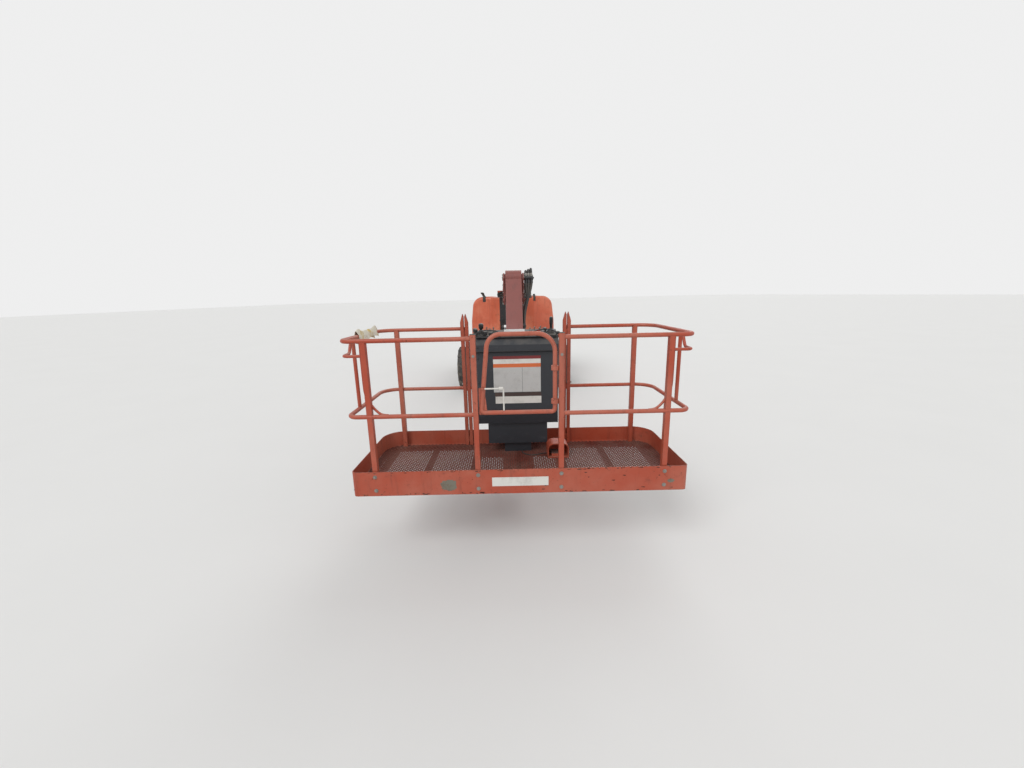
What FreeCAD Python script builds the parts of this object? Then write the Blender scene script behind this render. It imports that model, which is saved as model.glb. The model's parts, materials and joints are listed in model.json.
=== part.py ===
# Articulating boom lift, parked with its booms stowed.
# The frame: +Z up, the ground at z = 0, the swing axis through x = y = 0.
# The platform is at the -Y end, and +X is the machine's side that shows on the right from there.
# Sizes are millimetres and degrees.
import FreeCAD, Part
import math
import os
import re
import Sketcher

# alias, size, what it is
SIZES = (
    ("tyre_radius", 457, "wheel centre to the lugs' tips, also the height of the axles"),
    ("tyre_width", 356, "tyre, shoulder to shoulder"),
    ("carcass_radius", 428, "wheel centre to the tyre's tread between its lugs"),
    ("bead_radius", 256, "inner radius of the tyre"),
    ("lugs_per_side", 14, "lugs round one shoulder of a tyre"),
    ("lug_width", 44, "one lug, along the tread"),
    ("lug_slant", 28, "angle of a lug across the tread"),
    ("wheel_x", 1022, "machine's middle to the middle of a tyre"),
    ("axle_y", 1240, "swing axis to either axle"),
    ("rim_wall", 14, "thickness of the rim's barrel and disc"),
    ("spindle_radius", 60, "axle stub that carries a wheel"),
    ("spindle_end", 1060, "machine's middle to the end of the stub"),
    ("hub_face", 978, "machine's middle to the face behind the wheel's disc"),
    ("hub_radius", 130, "hub housing inside the wheel"),
    ("axle_tube_radius", 78, "axle tube"),
    ("axle_bulge_radius", 150, "differential housing"),
    ("kingpin_x", 760, "machine's middle to a steering pivot"),
    ("kingpin_radius", 30, "steering pivot pin"),
    ("yoke_root", 620, "machine's middle to the root of a yoke"),
    ("yoke_reach", 60, "half-width of the yoke's arms round the pivot"),
    ("yoke_gap", 100, "axle's middle to the inner face of a yoke's arm"),
    ("yoke_arm", 35, "thickness of a yoke's arm"),
    ("steer_arm", 190, "steering pivot to the tie rod"),
    ("tie_rod_radius", 16, "tie rod"),
    ("running_gap", 0.3, "clearance round pins and spindles"),
    ("frame_half_width", 340, "half-width of the chassis"),
    ("frame_end", 1500, "swing axis to either end of the chassis"),
    ("frame_bottom", 430, "ground to the chassis between the axles"),
    ("frame_arch", 640, "ground to the chassis over the axles"),
    ("frame_top", 880, "ground to the chassis's top"),
    ("saddle_x", 290, "middle to the drive axle's pads"),
    ("tie_down_x", 270, "middle to a tie-down lug"),
    ("tie_down_radius", 25, "hole of a tie-down lug"),
    ("bearing_radius", 430, "swing bearing, outside"),
    ("bearing_bore", 330, "swing bearing, inside"),
    ("deck_bottom", 950, "ground to the turntable's underside"),
    ("deck_plate", 40, "thickness of the turntable's floor"),
    ("deck_top", 1035, "ground to the top of the turntable's rim"),
    ("deck_half_width", 905, "half-width of the turntable"),
    ("deck_front", 1195, "swing axis to the turntable's front"),
    ("counterweight_front", 775, "swing axis to the counterweight's front"),
    ("tail_bulge", 48.5, "how far the tail's swing circle lies outside the counterweight's front corners"),
    ("counterweight_top", 1640, "ground to the counterweight's top"),
    ("slot_half_width", 275, "half the gap between the hoods"),
    ("side_plate_x", 230, "middle to a boom support plate"),
    ("side_plate", 22, "thickness of a boom support plate"),
    ("box_length", 215, "rear of a hood to the counterweight"),
    ("hood_top", 1965, "ground to a hood's top at its hinge"),
    ("hood_wall", 25, "a hood's shell with its frame"),
    ("hood_lean", 60, "how far a hood's side leans in at its top outer corner"),
    ("hood_knee", 1450, "ground to the hood's widest line"),
    ("hood_corner", 220, "radius of a hood's top outer corner"),
    ("hood_crease", 462, "middle to the crease on a hood's front"),
    ("hood_rake", 130, "how far the front falls back at the outside"),
    ("hinge_x", 265, "middle to a hood's hinge line"),
    ("hinge_z", 1958, "ground to a hood's hinge line"),
    ("hinge_pin", 6, "pin of a hood's hinge"),
    ("tower_pivot_y", -1050, "swing axis to the tower boom's pivot"),
    ("tower_pivot_z", 1200, "ground to the tower boom's pivot"),
    ("upright_y", 1150, "swing axis to the upright's pins"),
    ("upright_low_z", 1600, "ground to the upright's lower pin"),
    ("upright_high_z", 2160, "ground to the main boom's pivot"),
    ("pivot_radius", 40, "radius of the booms' main pins"),
    ("tower_width", 280, "tower boom's outer section, across"),
    ("tower_height", 300, "tower boom's outer section, depth"),
    ("boom_wall", 10, "wall of the booms"),
    ("tower_fly_shows", 276, "outer section's mouth to the upright's pin"),
    ("tower_fly_width", 236, "tower boom's inner section, across"),
    ("tower_fly_height", 250, "tower boom's inner section, depth"),
    ("upright_gap", 272, "between the upright's side plates"),
    ("upright_plate", 22, "thickness of an upright's side plate"),
    ("main_width", 260, "main boom's outer section, across"),
    ("main_height", 320, "main boom's outer section, depth"),
    ("main_drop", 75, "main pivot down to the main boom's middle"),
    ("main_base_length", 5100, "main pivot to the outer section's mouth"),
    ("main_fly_width", 200, "main boom's inner section, across"),
    ("main_fly_height", 270, "main boom's inner section, depth"),
    ("collar", 14, "reinforcing band round a boom's mouth"),
    ("nose_reach", 950, "outer section's mouth to the main boom's nose pin"),
    ("nose_radius", 88, "round end of the main boom's nose"),
    ("jib_pin_reach", 150, "nose pin to the jib's upper pin, along the machine"),
    ("jib_pin_z", 2200, "ground to the jib's upper pin"),
    ("jib_offset", 260, "jib's pin down to its link's pin"),
    ("jib_length", 1812, "jib, pin to pin"),
    ("jib_slope", 62, "how steeply the stowed jib hangs"),
    ("jib_width", 190, "jib tube, across"),
    ("jib_depth", 150, "jib tube, depth"),
    ("jib_head", 91, "round head of the jib at its upper pin"),
    ("jib_pin_radius", 26, "the jib's pins"),
    ("nose_plate_x", 106, "middle to a nose bracket's plate"),
    ("nose_plate", 16, "thickness of the nose bracket's plates"),
    ("link_bar_x", 46, "middle to a link bar"),
    ("link_bar", 16, "thickness of a link bar"),
    ("link_depth", 44, "depth of a link bar"),
    ("rotator_reach", 179.3, "jib's lower pin to the platform's rotator"),
    ("rotator_radius", 95, "housing of the rotator"),
    ("rotator_low", 330, "ground to the rotator's lower end"),
    ("rotator_high", 650, "ground to the rotator's upper end"),
    ("platform_gap", 260, "rotator to the platform's side on the boom"),
    ("platform_depth", 910, "platform, from the boom's side to the entry side"),
    ("platform_half_width", 1245, "half-width of the platform"),
    ("floor_z", 620, "ground to the platform's floor"),
    ("toe_top", 756, "ground to the toe board's top"),
    ("toe_bottom", 564, "ground to the toe board's bottom"),
    ("toe_plate", 5, "thickness of the toe board"),
    ("toe_corner", 180, "radius of the toe board's corners on the boom's side"),
    ("toe_near_corner", 34, "radius of the toe board's corners on the entry side"),
    ("rail_z", 1720, "ground to the middle of the top rail"),
    ("mid_rail_z", 1174, "ground to the middle of the mid rail"),
    ("rail_radius", 16, "tube of the rails and the gate"),
    ("post_width", 38, "square tube of the posts"),
    ("post_inset", 175, "platform's end to the middle of an outer post"),
    ("gate_post_x", 308, "middle to a gate post"),
    ("tall_post_x", 460, "middle to a tall post on the boom's side"),
    ("tall_post_bar", 31, "one of the two bars of a tall post, across"),
    ("tall_post_z", 1852, "ground to the tall posts' pointed tops"),
    ("gate_top_z", 1748, "ground to the gate's top bar"),
    ("gate_low_z", 1187, "ground to the gate's bottom bar"),
    ("gate_hinge_x", 262, "middle to the gate's upright leg"),
    ("gate_lean_x", 206, "middle to the top of the gate's leaning leg"),
    ("latch_z", 1370, "ground to the gate's latch rod"),
    ("console_half_width", 354, "half-width of the control console"),
    ("console_depth", 312, "platform's side on the boom to the console's face"),
    ("console_belly", 286, "platform's floor to the underside of the console's box"),
    ("track_drop", 75, "main boom's middle down to the power track's upper run"),
    ("track_height", 440, "power track, lowest to highest"),
    ("track_width", 58, "power track, across"),
    ("track_link", 60, "height of the power track's links"),
    ("track_rear", -1720, "swing axis to the power track's bend"),
    ("hose_radius", 14, "one hose of the jib's bundle"),
    ("cord_radius", 4.5, "lead of the foot switch"),
)

doc = FreeCAD.newDocument("boom_lift")
sheet = doc.addObject("Spreadsheet::Sheet", "Sizes")


class Size:
    """A number of the sheet, or one worked out from it, with the expression that gives it."""

    def __init__(self, value, text=None):
        self.value = float(value)
        self.text = repr(self.value) if text is None else text

    def __add__(self, other):
        other = size(other)
        return Size(self.value + other.value, "(%s + %s)" % (self.text, other.text))

    def __sub__(self, other):
        other = size(other)
        return Size(self.value - other.value, "(%s - %s)" % (self.text, other.text))

    def __mul__(self, other):
        other = size(other)
        return Size(self.value * other.value, "(%s * %s)" % (self.text, other.text))

    def __truediv__(self, other):
        other = size(other)
        return Size(self.value / other.value, "(%s / %s)" % (self.text, other.text))

    def __neg__(self):
        return Size(-self.value, "(0 - %s)" % self.text)

    def cosine(self):
        return Size(math.cos(math.radians(self.value)), "cos(%s * 1 deg)" % self.text)

    def hypotenuse(self, other):
        return Size(math.hypot(self.value, other.value), "sqrt(%s ^ 2 + %s ^ 2)" % (self.text, other.text))

    def __radd__(self, other):
        return size(other) + self

    def __rsub__(self, other):
        return size(other) - self

    def __rmul__(self, other):
        return size(other) * self

    def __float__(self):
        return self.value


def size(number):
    return number if isinstance(number, Size) else Size(number)


class Sheet:
    """Every size of the table by its name."""


S = Sheet()
for row, (alias, value, note) in enumerate(SIZES, start=1):
    sheet.set("A%d" % row, note)
    sheet.set("B%d" % row, repr(value))
    sheet.setAlias("B%d" % row, alias)
    setattr(S, alias, Size(value, "Sizes." + alias))
doc.recompute()

# places that follow from the sizes, along the machine
S.tail_radius = S.deck_half_width.hypotenuse(S.counterweight_front) + S.tail_bulge
S.hood_shoulder = S.deck_half_width - S.hood_lean
S.hood_rear = S.counterweight_front - S.box_length
S.tower_length = (S.upright_y - S.tower_pivot_y).hypotenuse(S.upright_low_z - S.tower_pivot_z)
S.tower_base_length = S.tower_length - S.tower_fly_shows
S.nose_y = S.upright_y - S.main_base_length - S.nose_reach
S.jib_pin_y = S.nose_y - S.jib_pin_reach
S.rotator_y = S.jib_pin_y - S.jib_length * S.jib_slope.cosine() - S.rotator_reach
S.platform_far = S.rotator_y - S.platform_gap
S.platform_near = S.platform_far - S.platform_depth
S.post_x = S.platform_half_width - S.post_inset
S.console_front = S.platform_far - S.console_depth

NODES = []
count = {}


def fresh(name):
    """A name of its own for a helper object of a sub-part."""
    count[name] = count.get(name, 0) + 1
    return "%s_%d" % (name, count[name])


def bind(thing, prop, number):
    thing.setExpression(prop, size(number).text)


def place(thing, x=0, y=0, z=0, turn_x=0):
    """Places a sub-part at a point, turned about X by an angle."""
    thing.Placement = FreeCAD.Placement(
        FreeCAD.Vector(float(x), float(y), float(z)), FreeCAD.Rotation(FreeCAD.Vector(1, 0, 0), float(turn_x))
    )


def node(thing, name, x=0, y=0, z=0, turn_x=0):
    """Makes the object a sub-part: its label names its file."""
    place(thing, x, y, z, turn_x)
    thing.Label = name
    NODES.append(thing)
    return thing


# PartDesign bodies: sketches with their corners bound to the sheet, pads, pockets, rounded edges.


def new_body(name):
    return doc.addObject("PartDesign::Body", "body_" + name)


def sketch(body, plane, offset, corners=(), circles=()):
    """A closed outline of straight runs and some circles on one of the body's planes."""
    drawing = body.newObject("Sketcher::SketchObject", fresh("sketch"))
    base = [f for f in body.Origin.OriginFeatures if f.Role == plane + "_Plane"][0]
    drawing.AttachmentSupport = (base, [""])
    drawing.MapMode = "FlatFace"
    bind(drawing, "AttachmentOffset.Base.z", offset)
    points = [FreeCAD.Vector(float(u), float(v), 0) for u, v in corners]
    for index, point in enumerate(points):
        drawing.addGeometry(Part.LineSegment(point, points[(index + 1) % len(points)]), False)
    for index, (u, v) in enumerate(corners):
        drawing.addConstraint(Sketcher.Constraint("Coincident", index, 2, (index + 1) % len(points), 1))
        for kind, number in (("DistanceX", u), ("DistanceY", v)):
            place_in = drawing.addConstraint(Sketcher.Constraint(kind, -1, 1, index, 1, float(number)))
            if isinstance(number, Size):
                drawing.setExpression("Constraints[%d]" % place_in, number.text)
    for u, v, radius in circles:
        circle = Part.Circle(FreeCAD.Vector(float(u), float(v), 0), FreeCAD.Vector(0, 0, 1), float(radius))
        index = drawing.addGeometry(circle, False)
        for kind, number in (("DistanceX", u), ("DistanceY", v)):
            place_in = drawing.addConstraint(Sketcher.Constraint(kind, -1, 1, index, 3, float(number)))
            if isinstance(number, Size):
                drawing.setExpression("Constraints[%d]" % place_in, number.text)
        place_in = drawing.addConstraint(Sketcher.Constraint("Radius", index, float(radius)))
        if isinstance(radius, Size):
            drawing.setExpression("Constraints[%d]" % place_in, radius.text)
    return drawing


def extrude(kind, body, plane, low, high, corners, circles):
    """The plane XZ looks towards -Y, so its sketch lies at the high end and grows to the low one."""
    offset = -high if plane == "XZ" else low
    drawing = sketch(body, plane, offset, corners, circles)
    feature = body.newObject("PartDesign::" + kind, fresh(kind.lower()))
    feature.Profile = drawing
    bind(feature, "Length", high - low)
    if kind == "Pocket":
        feature.Reversed = True
    body.Tip = feature
    return feature


def pad(body, plane, low, high, corners=(), circles=()):
    return extrude("Pad", body, plane, size(low), size(high), corners, circles)


def pocket(body, plane, low, high, corners=(), circles=()):
    return extrude("Pocket", body, plane, size(low), size(high), corners, circles)


def block(u0, u1, v0, v1):
    """The corners of a rectangle."""
    return ((u0, v0), (u1, v0), (u1, v1), (u0, v1))


def straight(edge, axis):
    return edge.Curve.TypeId == "Part::GeomLine" and abs(abs(getattr(edge.Curve.Direction, axis)) - 1) < 1e-6


def round_edges(body, radius, test, kind="Fillet"):
    """Rounds or bevels the edges of the body's last feature that pass the test."""
    doc.recompute()
    tip = body.Tip
    names = ["Edge%d" % n for n, edge in enumerate(tip.Shape.Edges, start=1) if test(edge)]
    feature = body.newObject("PartDesign::" + kind, fresh(kind.lower()))
    feature.Base = (tip, names)
    bind(feature, "Radius" if kind == "Fillet" else "Size", radius)
    body.Tip = feature
    return feature


def near(a, b, tolerance=1.0):
    return abs(float(a) - float(b)) < tolerance


def middle(edge):
    return edge.CenterOfMass


def revolve(body, plane, corners, axis):
    """Turns a half profile a whole turn about its sketch's own axis."""
    drawing = sketch(body, plane, 0, corners)
    feature = body.newObject("PartDesign::Revolution", fresh("turned"))
    feature.Profile = drawing
    feature.ReferenceAxis = (drawing, [axis])
    feature.Angle = 360
    body.Tip = feature
    return feature


# Part primitives, bound to the sheet, and their booleans.


def bind_place(thing, x, y, z):
    for letter, number in zip("xyz", (x, y, z)):
        bind(thing, "Placement.Base." + letter, number)


def box(xs, ys, zs):
    thing = doc.addObject("Part::Box", fresh("box"))
    bind_place(thing, xs[0], ys[0], zs[0])
    for prop, span in zip(("Length", "Width", "Height"), (xs, ys, zs)):
        bind(thing, prop, size(span[1]) - span[0])
    return thing


AXES = {
    "x": FreeCAD.Rotation(FreeCAD.Vector(0, 1, 0), 90),
    "y": FreeCAD.Rotation(FreeCAD.Vector(1, 0, 0), -90),
    "z": FreeCAD.Rotation(),
}


def rod(axis, radius, low, high, across):
    """A cylinder along an axis from low to high; across gives its two other places in X, Y, Z order."""
    thing = doc.addObject("Part::Cylinder", fresh("rod"))
    thing.Placement.Rotation = AXES[axis]
    spot = list(across)
    spot.insert("xyz".index(axis), low)
    bind_place(thing, *spot)
    bind(thing, "Radius", radius)
    bind(thing, "Height", size(high) - low)
    return thing


def fuse(*pieces):
    if len(pieces) == 1:
        return pieces[0]
    thing = doc.addObject("Part::MultiFuse", fresh("fuse"))
    thing.Shapes = list(pieces)
    thing.Refine = True
    return thing


def cut(base, *tools):
    thing = doc.addObject("Part::Cut", fresh("cut"))
    thing.Base = base
    thing.Tool = fuse(*tools)
    return thing


def common(base, tool):
    thing = doc.addObject("Part::MultiCommon", fresh("common"))
    thing.Shapes = [base, tool]
    return thing


# Bent tubes and hoses: straight runs joined by tangent arcs.


def bent_path(points, bend):
    """A wire through the points, its corners turned into arcs of the radius bend, or their own."""
    spots = [FreeCAD.Vector(*[float(c) for c in point]) for point in points]
    bends = bend if isinstance(bend, (list, tuple)) else [bend] * (len(spots) - 2)
    edges = []
    start = spots[0]
    for before, corner, after, radius in zip(spots, spots[1:], spots[2:], bends):
        into = (corner - before).normalize()
        out = (after - corner).normalize()
        half = into.getAngle(out) / 2
        reach = float(radius) * math.tan(half)
        first = corner - into * reach
        last = corner + out * reach
        inward = (out - into).normalize()
        centre = corner + inward * (float(radius) / math.cos(half))
        halfway = centre - inward * float(radius)
        if (first - start).Length > 1e-6:
            edges.append(Part.LineSegment(start, first).toShape())
        edges.append(Part.Arc(first, halfway, last).toShape())
        start = last
    edges.append(Part.LineSegment(start, spots[-1]).toShape())
    return Part.Wire(edges)


def tube_shape(points, radius, bend):
    path = bent_path(points, bend)
    first = path.Edges[0]
    heading = first.tangentAt(first.FirstParameter)
    ring = Part.Wire([Part.makeCircle(float(radius), first.valueAt(first.FirstParameter), heading)])
    return path.makePipeShell([ring], True, False)


def feature(shape):
    thing = doc.addObject("Part::Feature", fresh("shape"))
    thing.Shape = shape
    return thing


def bent_tube(points, radius, bend):
    return feature(tube_shape(points, radius, bend))


SIDES = (("left", -1), ("right", 1))


# The chassis: a box frame that rises over both axles, with tie-down lugs at its ends.
def make_chassis():
    body = new_body("chassis_frame")
    half = S.frame_half_width
    end = S.frame_end
    side = (
        (-end, 680), (-end, 830), (-end + 100, S.frame_top), (end - 100, S.frame_top),
        (end, 830), (end, 680), (end - 40, S.frame_arch), (900, S.frame_arch),
        (760, S.frame_bottom), (-760, S.frame_bottom), (-900, S.frame_arch), (-end + 40, S.frame_arch),
    )
    pad(body, "YZ", -half, half, side)
    for sign in (-1, 1):
        x = S.tie_down_x * sign
        for end_sign in (-1, 1):
            root, tip = (end - 30) * end_sign, (end + 50) * end_sign
            lug = ((x - 50, root), (x + 50, root), (x + 50, tip), (x + 22, tip + 34 * end_sign),
                   (x - 22, tip + 34 * end_sign), (x - 50, tip))
            pad(body, "XY", 738, 763, lug, [(x, (end + 35) * end_sign, S.tie_down_radius)])
        seat = S.tyre_radius + S.axle_tube_radius + 4
        saddle = ((-S.axle_y - 110, S.frame_arch + 5), (-S.axle_y - 70, seat), (-S.axle_y + 70, seat),
                  (-S.axle_y + 110, S.frame_arch + 5))
        pad(body, "YZ", S.saddle_x * sign - 30, S.saddle_x * sign + 30, saddle)
        cradle = S.axle_y + sign * (S.axle_bulge_radius + 20)
        ear = ((-110, S.frame_arch + 5), (-50, 545), (50, 545), (110, S.frame_arch + 5))
        pad(body, "XZ", cradle - 14, cradle + 14, ear, [(0, 592, S.kingpin_radius + S.running_gap)])
    node(body, "chassis_frame")


# The drive axle, turned about X: differential, tubes, hub housings and the stubs of its wheels.
def axle_profile(outer):
    half = ((110, S.axle_bulge_radius), (175, 110), (250, S.axle_tube_radius)) + outer
    return tuple((-u, v) for u, v in reversed(half)) + half


def make_axles():
    drive = new_body("drive_axle")
    outer = (
        (690, S.axle_tube_radius), (720, S.hub_radius), (S.hub_face, S.hub_radius),
        (S.hub_face, S.spindle_radius), (S.spindle_end, S.spindle_radius), (S.spindle_end, 0),
    )
    revolve(drive, "XY", axle_profile(outer), "H_Axis")
    for sign in (-1, 1):
        pad(drive, "YZ", S.saddle_x * sign - 34, S.saddle_x * sign + 34, block(-68, 68, 0, S.axle_tube_radius + 4))
    node(drive, "drive_axle", 0, -S.axle_y, S.tyre_radius)

    steer = new_body("steer_axle")
    revolve(steer, "XY", axle_profile(((S.yoke_root - 10, S.axle_tube_radius), (S.yoke_root - 10, 0))), "H_Axis")
    pad(steer, "YZ", -60, 60, block(-62, 62, 0, 150))
    trunnion = S.axle_bulge_radius + 40
    pad(steer, "XZ", -trunnion, trunnion, (), [(0, 135, S.kingpin_radius)])
    top = S.yoke_gap + S.yoke_arm
    for sign in (-1, 1):
        near_x, far_x = sorted(((S.yoke_root - 20) * sign, (S.yoke_root + 20) * sign), key=float)
        pad(steer, "YZ", near_x, far_x, block(-S.yoke_reach, S.yoke_reach, -top, top))
        root, tip = S.yoke_root * sign, (S.kingpin_x + 10) * sign
        for low in (-top, S.yoke_gap):
            arm = ((root, -S.yoke_reach), (tip, -S.yoke_reach + 12), (tip + 44 * sign, -22),
                   (tip + 44 * sign, 22), (tip, S.yoke_reach - 12), (root, S.yoke_reach))
            hole = [(S.kingpin_x * sign, 0, S.kingpin_radius + S.running_gap)]
            pad(steer, "XY", low, low + S.yoke_arm, arm, hole)
    node(steer, "steer_axle", 0, S.axle_y, S.tyre_radius)


# A steering knuckle between its yoke's arms: pivot post, hub housing, wheel stub and steering arm.
def make_knuckles():
    for side, sign in SIDES:
        reach = S.hub_face - S.kingpin_x
        stub = S.spindle_end - S.kingpin_x
        top = S.yoke_gap + S.yoke_arm
        lie = ("x", S.hub_radius - 40, 0, reach) if sign > 0 else ("x", S.hub_radius - 40, -reach, 0)
        spin = ("x", S.spindle_radius, 0, stub) if sign > 0 else ("x", S.spindle_radius, -stub, 0)
        plate = (reach - 60, reach - 20) if sign > 0 else (-reach + 20, -reach + 60)
        pieces = [
            rod("z", 62, -S.yoke_gap + S.running_gap, S.yoke_gap - S.running_gap, (0, 0)),
            rod("z", S.kingpin_radius, -top, top, (0, 0)),
            rod(*lie, (0, 0)),
            rod(*spin, (0, 0)),
            rod("x", S.hub_radius, plate[0], plate[1], (0, 0)),
            box((-22, 22), (0, S.steer_arm), (-17, 8)),
            rod("z", 30, -17, 8, (0, S.steer_arm)),
        ]
        node(fuse(*pieces), "knuckle_" + side, S.kingpin_x * sign, S.axle_y, S.tyre_radius)


def make_tie_rod():
    low = 8 + S.running_gap
    eyes = [rod("z", 27, low, low + 36, (S.kingpin_x * sign, 0)) for side, sign in SIDES]
    bar = rod("x", S.tie_rod_radius, -S.kingpin_x, S.kingpin_x, (0, low + 18))
    node(fuse(bar, *eyes), "tie_rod", 0, S.axle_y + S.steer_arm, S.tyre_radius)


# A tyre: turned carcass with two staggered rows of slanted lugs, each from the middle over a shoulder.
def make_tyre(name, x, y):
    body = new_body(name)
    half = S.tyre_width / 2
    inner = S.bead_radius
    section = (
        (-half + 38, inner), (-half, inner + 80), (-half + 8, S.carcass_radius - 28),
        (-half + 32, S.carcass_radius), (half - 32, S.carcass_radius), (half - 8, S.carcass_radius - 28),
        (half, inner + 80), (half - 38, inner),
    )
    revolve(body, "XY", section, "H_Axis")
    slant = math.tan(math.radians(float(S.lug_slant)))
    wide = S.lug_width / 2
    for sign in (-1, 1):
        near_x, far_x = 12 * sign, (half - 3) * sign
        run = float(half) * slant
        lug = ((near_x, -wide), (far_x, -wide + run), (far_x, wide + run), (near_x, wide))
        raised = pad(body, "XY", S.carcass_radius - 50, S.tyre_radius - 0.6, lug)
        ring = body.newObject("PartDesign::PolarPattern", fresh("ring"))
        ring.Originals = [raised]
        ring.Axis = ([f for f in body.Origin.OriginFeatures if f.Role == "X_Axis"][0], [""])
        ring.Angle = 360
        bind(ring, "Occurrences", S.lugs_per_side)
        body.Tip = ring
    node(body, name, x, y, S.tyre_radius)


# A rim: barrel, dished disc with a hub bore that runs on the stub, and the drive's cover on the outside.
def make_rim(name, x, y, sign):
    body = new_body(name)
    half = S.tyre_width / 2 - 38
    outer = S.bead_radius - 0.5
    inner = outer - S.rim_wall
    bore = S.spindle_radius + S.running_gap
    disc = S.hub_face + 8 - S.wheel_x
    end = S.spindle_end + 5 - S.wheel_x
    section = (
        (-half, inner), (-half - 12, outer + 9), (-half - 3, outer + 3), (-half, outer),
        (half, outer), (half + 3, outer + 3), (half + 12, outer + 9), (half, inner),
        (disc + 30, inner), (disc + 14, 190), (disc + 14, 118), (end + 24, 108),
        (end + 30, 0), (end, 0), (end, bore), (disc, bore), (disc, 190), (disc + 14, inner),
    )
    section = section if sign > 0 else tuple((-u, v) for u, v in section)
    revolve(body, "XY", section, "H_Axis")
    node(body, name, x, y, S.tyre_radius)


# name, side sign, end sign (-1 is the platform's end)
WHEELS = (("drive_left", -1, -1), ("drive_right", 1, -1), ("steer_left", -1, 1), ("steer_right", 1, 1))


def make_wheels():
    for name, side, end in WHEELS:
        make_tyre("tyre_" + name, S.wheel_x * side, S.axle_y * end)
        make_rim("rim_" + name, S.wheel_x * side, S.axle_y * end, side)


def make_bearing():
    outer = rod("z", S.bearing_radius, S.frame_top, S.deck_bottom, (0, 0))
    node(cut(outer, rod("z", S.bearing_bore, S.frame_top - 5, S.deck_bottom + 5, (0, 0))), "swing_bearing")


# The turntable: a tub of plate with a rim, two plates that carry the tower's pivot, and its lift cylinder's lugs.
def make_turntable():
    body = new_body("turntable_frame")
    half = S.deck_half_width
    front = -S.deck_front
    crease = S.hood_crease
    rear = S.counterweight_front
    plan = ((-crease, front), (crease, front), (half - 40, front + S.hood_rake - 30), (half, front + S.hood_rake + 60),
            (half, rear), (-half, rear), (-half, front + S.hood_rake + 60), (-half + 40, front + S.hood_rake - 30))
    pad(body, "XY", S.deck_bottom, S.deck_top, plan)
    floor = S.deck_bottom + S.deck_plate
    tub = block(-half + 60, half - 60, front + S.hood_rake + 60, rear + 10)
    pocket(body, "XY", floor, S.deck_top + 5, tub)
    pocket(body, "XY", floor, S.deck_top + 5, block(-S.slot_half_width + 7, S.slot_half_width - 7, front + 30, -900))
    pivot_y, pivot_z = S.tower_pivot_y, S.tower_pivot_z
    plate = (
        (front + 20, floor - 5), (front + 20, pivot_z + 40), (pivot_y - 70, pivot_z + 95), (pivot_y + 70, pivot_z + 95),
        (pivot_y + 520, pivot_z - 20), (rear - 255, pivot_z - 60), (rear - 135, pivot_z + 50),
        (rear - 75, pivot_z + 30),
        (rear, pivot_z - 60), (rear, floor - 5),
    )
    for sign in (-1, 1):
        low, high = sorted((S.side_plate_x * sign, (S.side_plate_x + S.side_plate) * sign), key=float)
        pad(body, "YZ", low, high, plate)
    edge = S.side_plate_x + S.side_plate + 2
    pad(body, "YZ", -edge, edge, (), [(pivot_y, pivot_z, S.pivot_radius)])
    foot = S.tower_pivot_y + TOWER_FOOT[0]
    lug = ((foot - 60, floor - 5), (foot - 34, pivot_z + 30), (foot + 34, pivot_z + 30), (foot + 90, floor - 5))
    for sign in (-1, 1):
        low, high = sorted((sign * 38, sign * 58))
        pad(body, "YZ", low, high, lug)
    pad(body, "YZ", -58, 58, (), [(foot, pivot_z + TOWER_FOOT[1], 24)])
    node(body, "turntable_frame")


# tower pivot to the foot of its lift cylinder, and along and below the tower to the rod's pin
TOWER_FOOT = (1640, 0)
TOWER_EYE = (560, 245)
# main pivot to the foot of its lift cylinder, and along and below the boom to the rod's pin
MAIN_FOOT = (-190, -360)
MAIN_EYE = (1150, 325)
# along and below the jib to its lift cylinder's rod; the foot shares the link's upper pin
JIB_EYE = (1100, 110)


# The counterweight: a cast block with a round tail, open in the middle for the booms.
def make_counterweight():
    tail = rod("z", S.tail_radius, S.deck_bottom, S.counterweight_top, (0, 0))
    half = S.deck_half_width
    whole = common(tail, box((-half, half), (S.counterweight_front, S.tail_radius), (S.deck_bottom, 1700)))
    slot = box((-S.slot_half_width, S.slot_half_width), (S.counterweight_front - 75, S.tail_radius + 60), (1120, 1700))
    bevels = []
    for sign in (-1, 1):
        body = new_body(fresh("bevel"))
        corner = ((half * sign, S.counterweight_top - 240), ((half - 150) * sign, S.counterweight_top),
                  ((half + 40) * sign, S.counterweight_top + 20), ((half + 40) * sign, S.counterweight_top - 240))
        pad(body, "XZ", S.counterweight_front - 75, S.tail_radius + 60, corner)
        bevels.append(body)
    node(cut(whole, slot, *bevels), "counterweight")


# The walls beside the boom slot, which the hoods close against.
def make_slot_walls():
    for side, sign in SIDES:
        body = new_body("slot_wall_" + side)
        front, rear, top = -S.deck_front + 40, S.counterweight_front - 12, S.hood_top - 20
        wall = ((front, S.deck_bottom + S.deck_plate), (front, 1500), (front + 60, top - 120), (front + 180, top),
                (S.hood_rear - 20, top), (rear, S.counterweight_top - 40), (rear, S.deck_bottom + S.deck_plate))
        low, high = sorted(((S.slot_half_width - 20) * sign, (S.slot_half_width - 12) * sign), key=float)
        pad(body, "YZ", low, high, wall)
        low, high = sorted(((S.hinge_x - 8) * sign, (S.hinge_x + 8) * sign), key=float)
        for y in HINGE_PLACES:
            for shift in (-20, 20):
                pad(body, "XZ", y + shift - 6, y + shift + 6, block(low, high, top - 6, S.hinge_z + 8))
            pad(body, "XZ", y - 20, y + 20, (), [(S.hinge_x * sign, S.hinge_z, S.hinge_pin)])
        node(body, "slot_wall_" + side)


# where the hoods' hinges are along their top inner edge
HINGE_PLACES = (-950, -300, 350)


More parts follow.
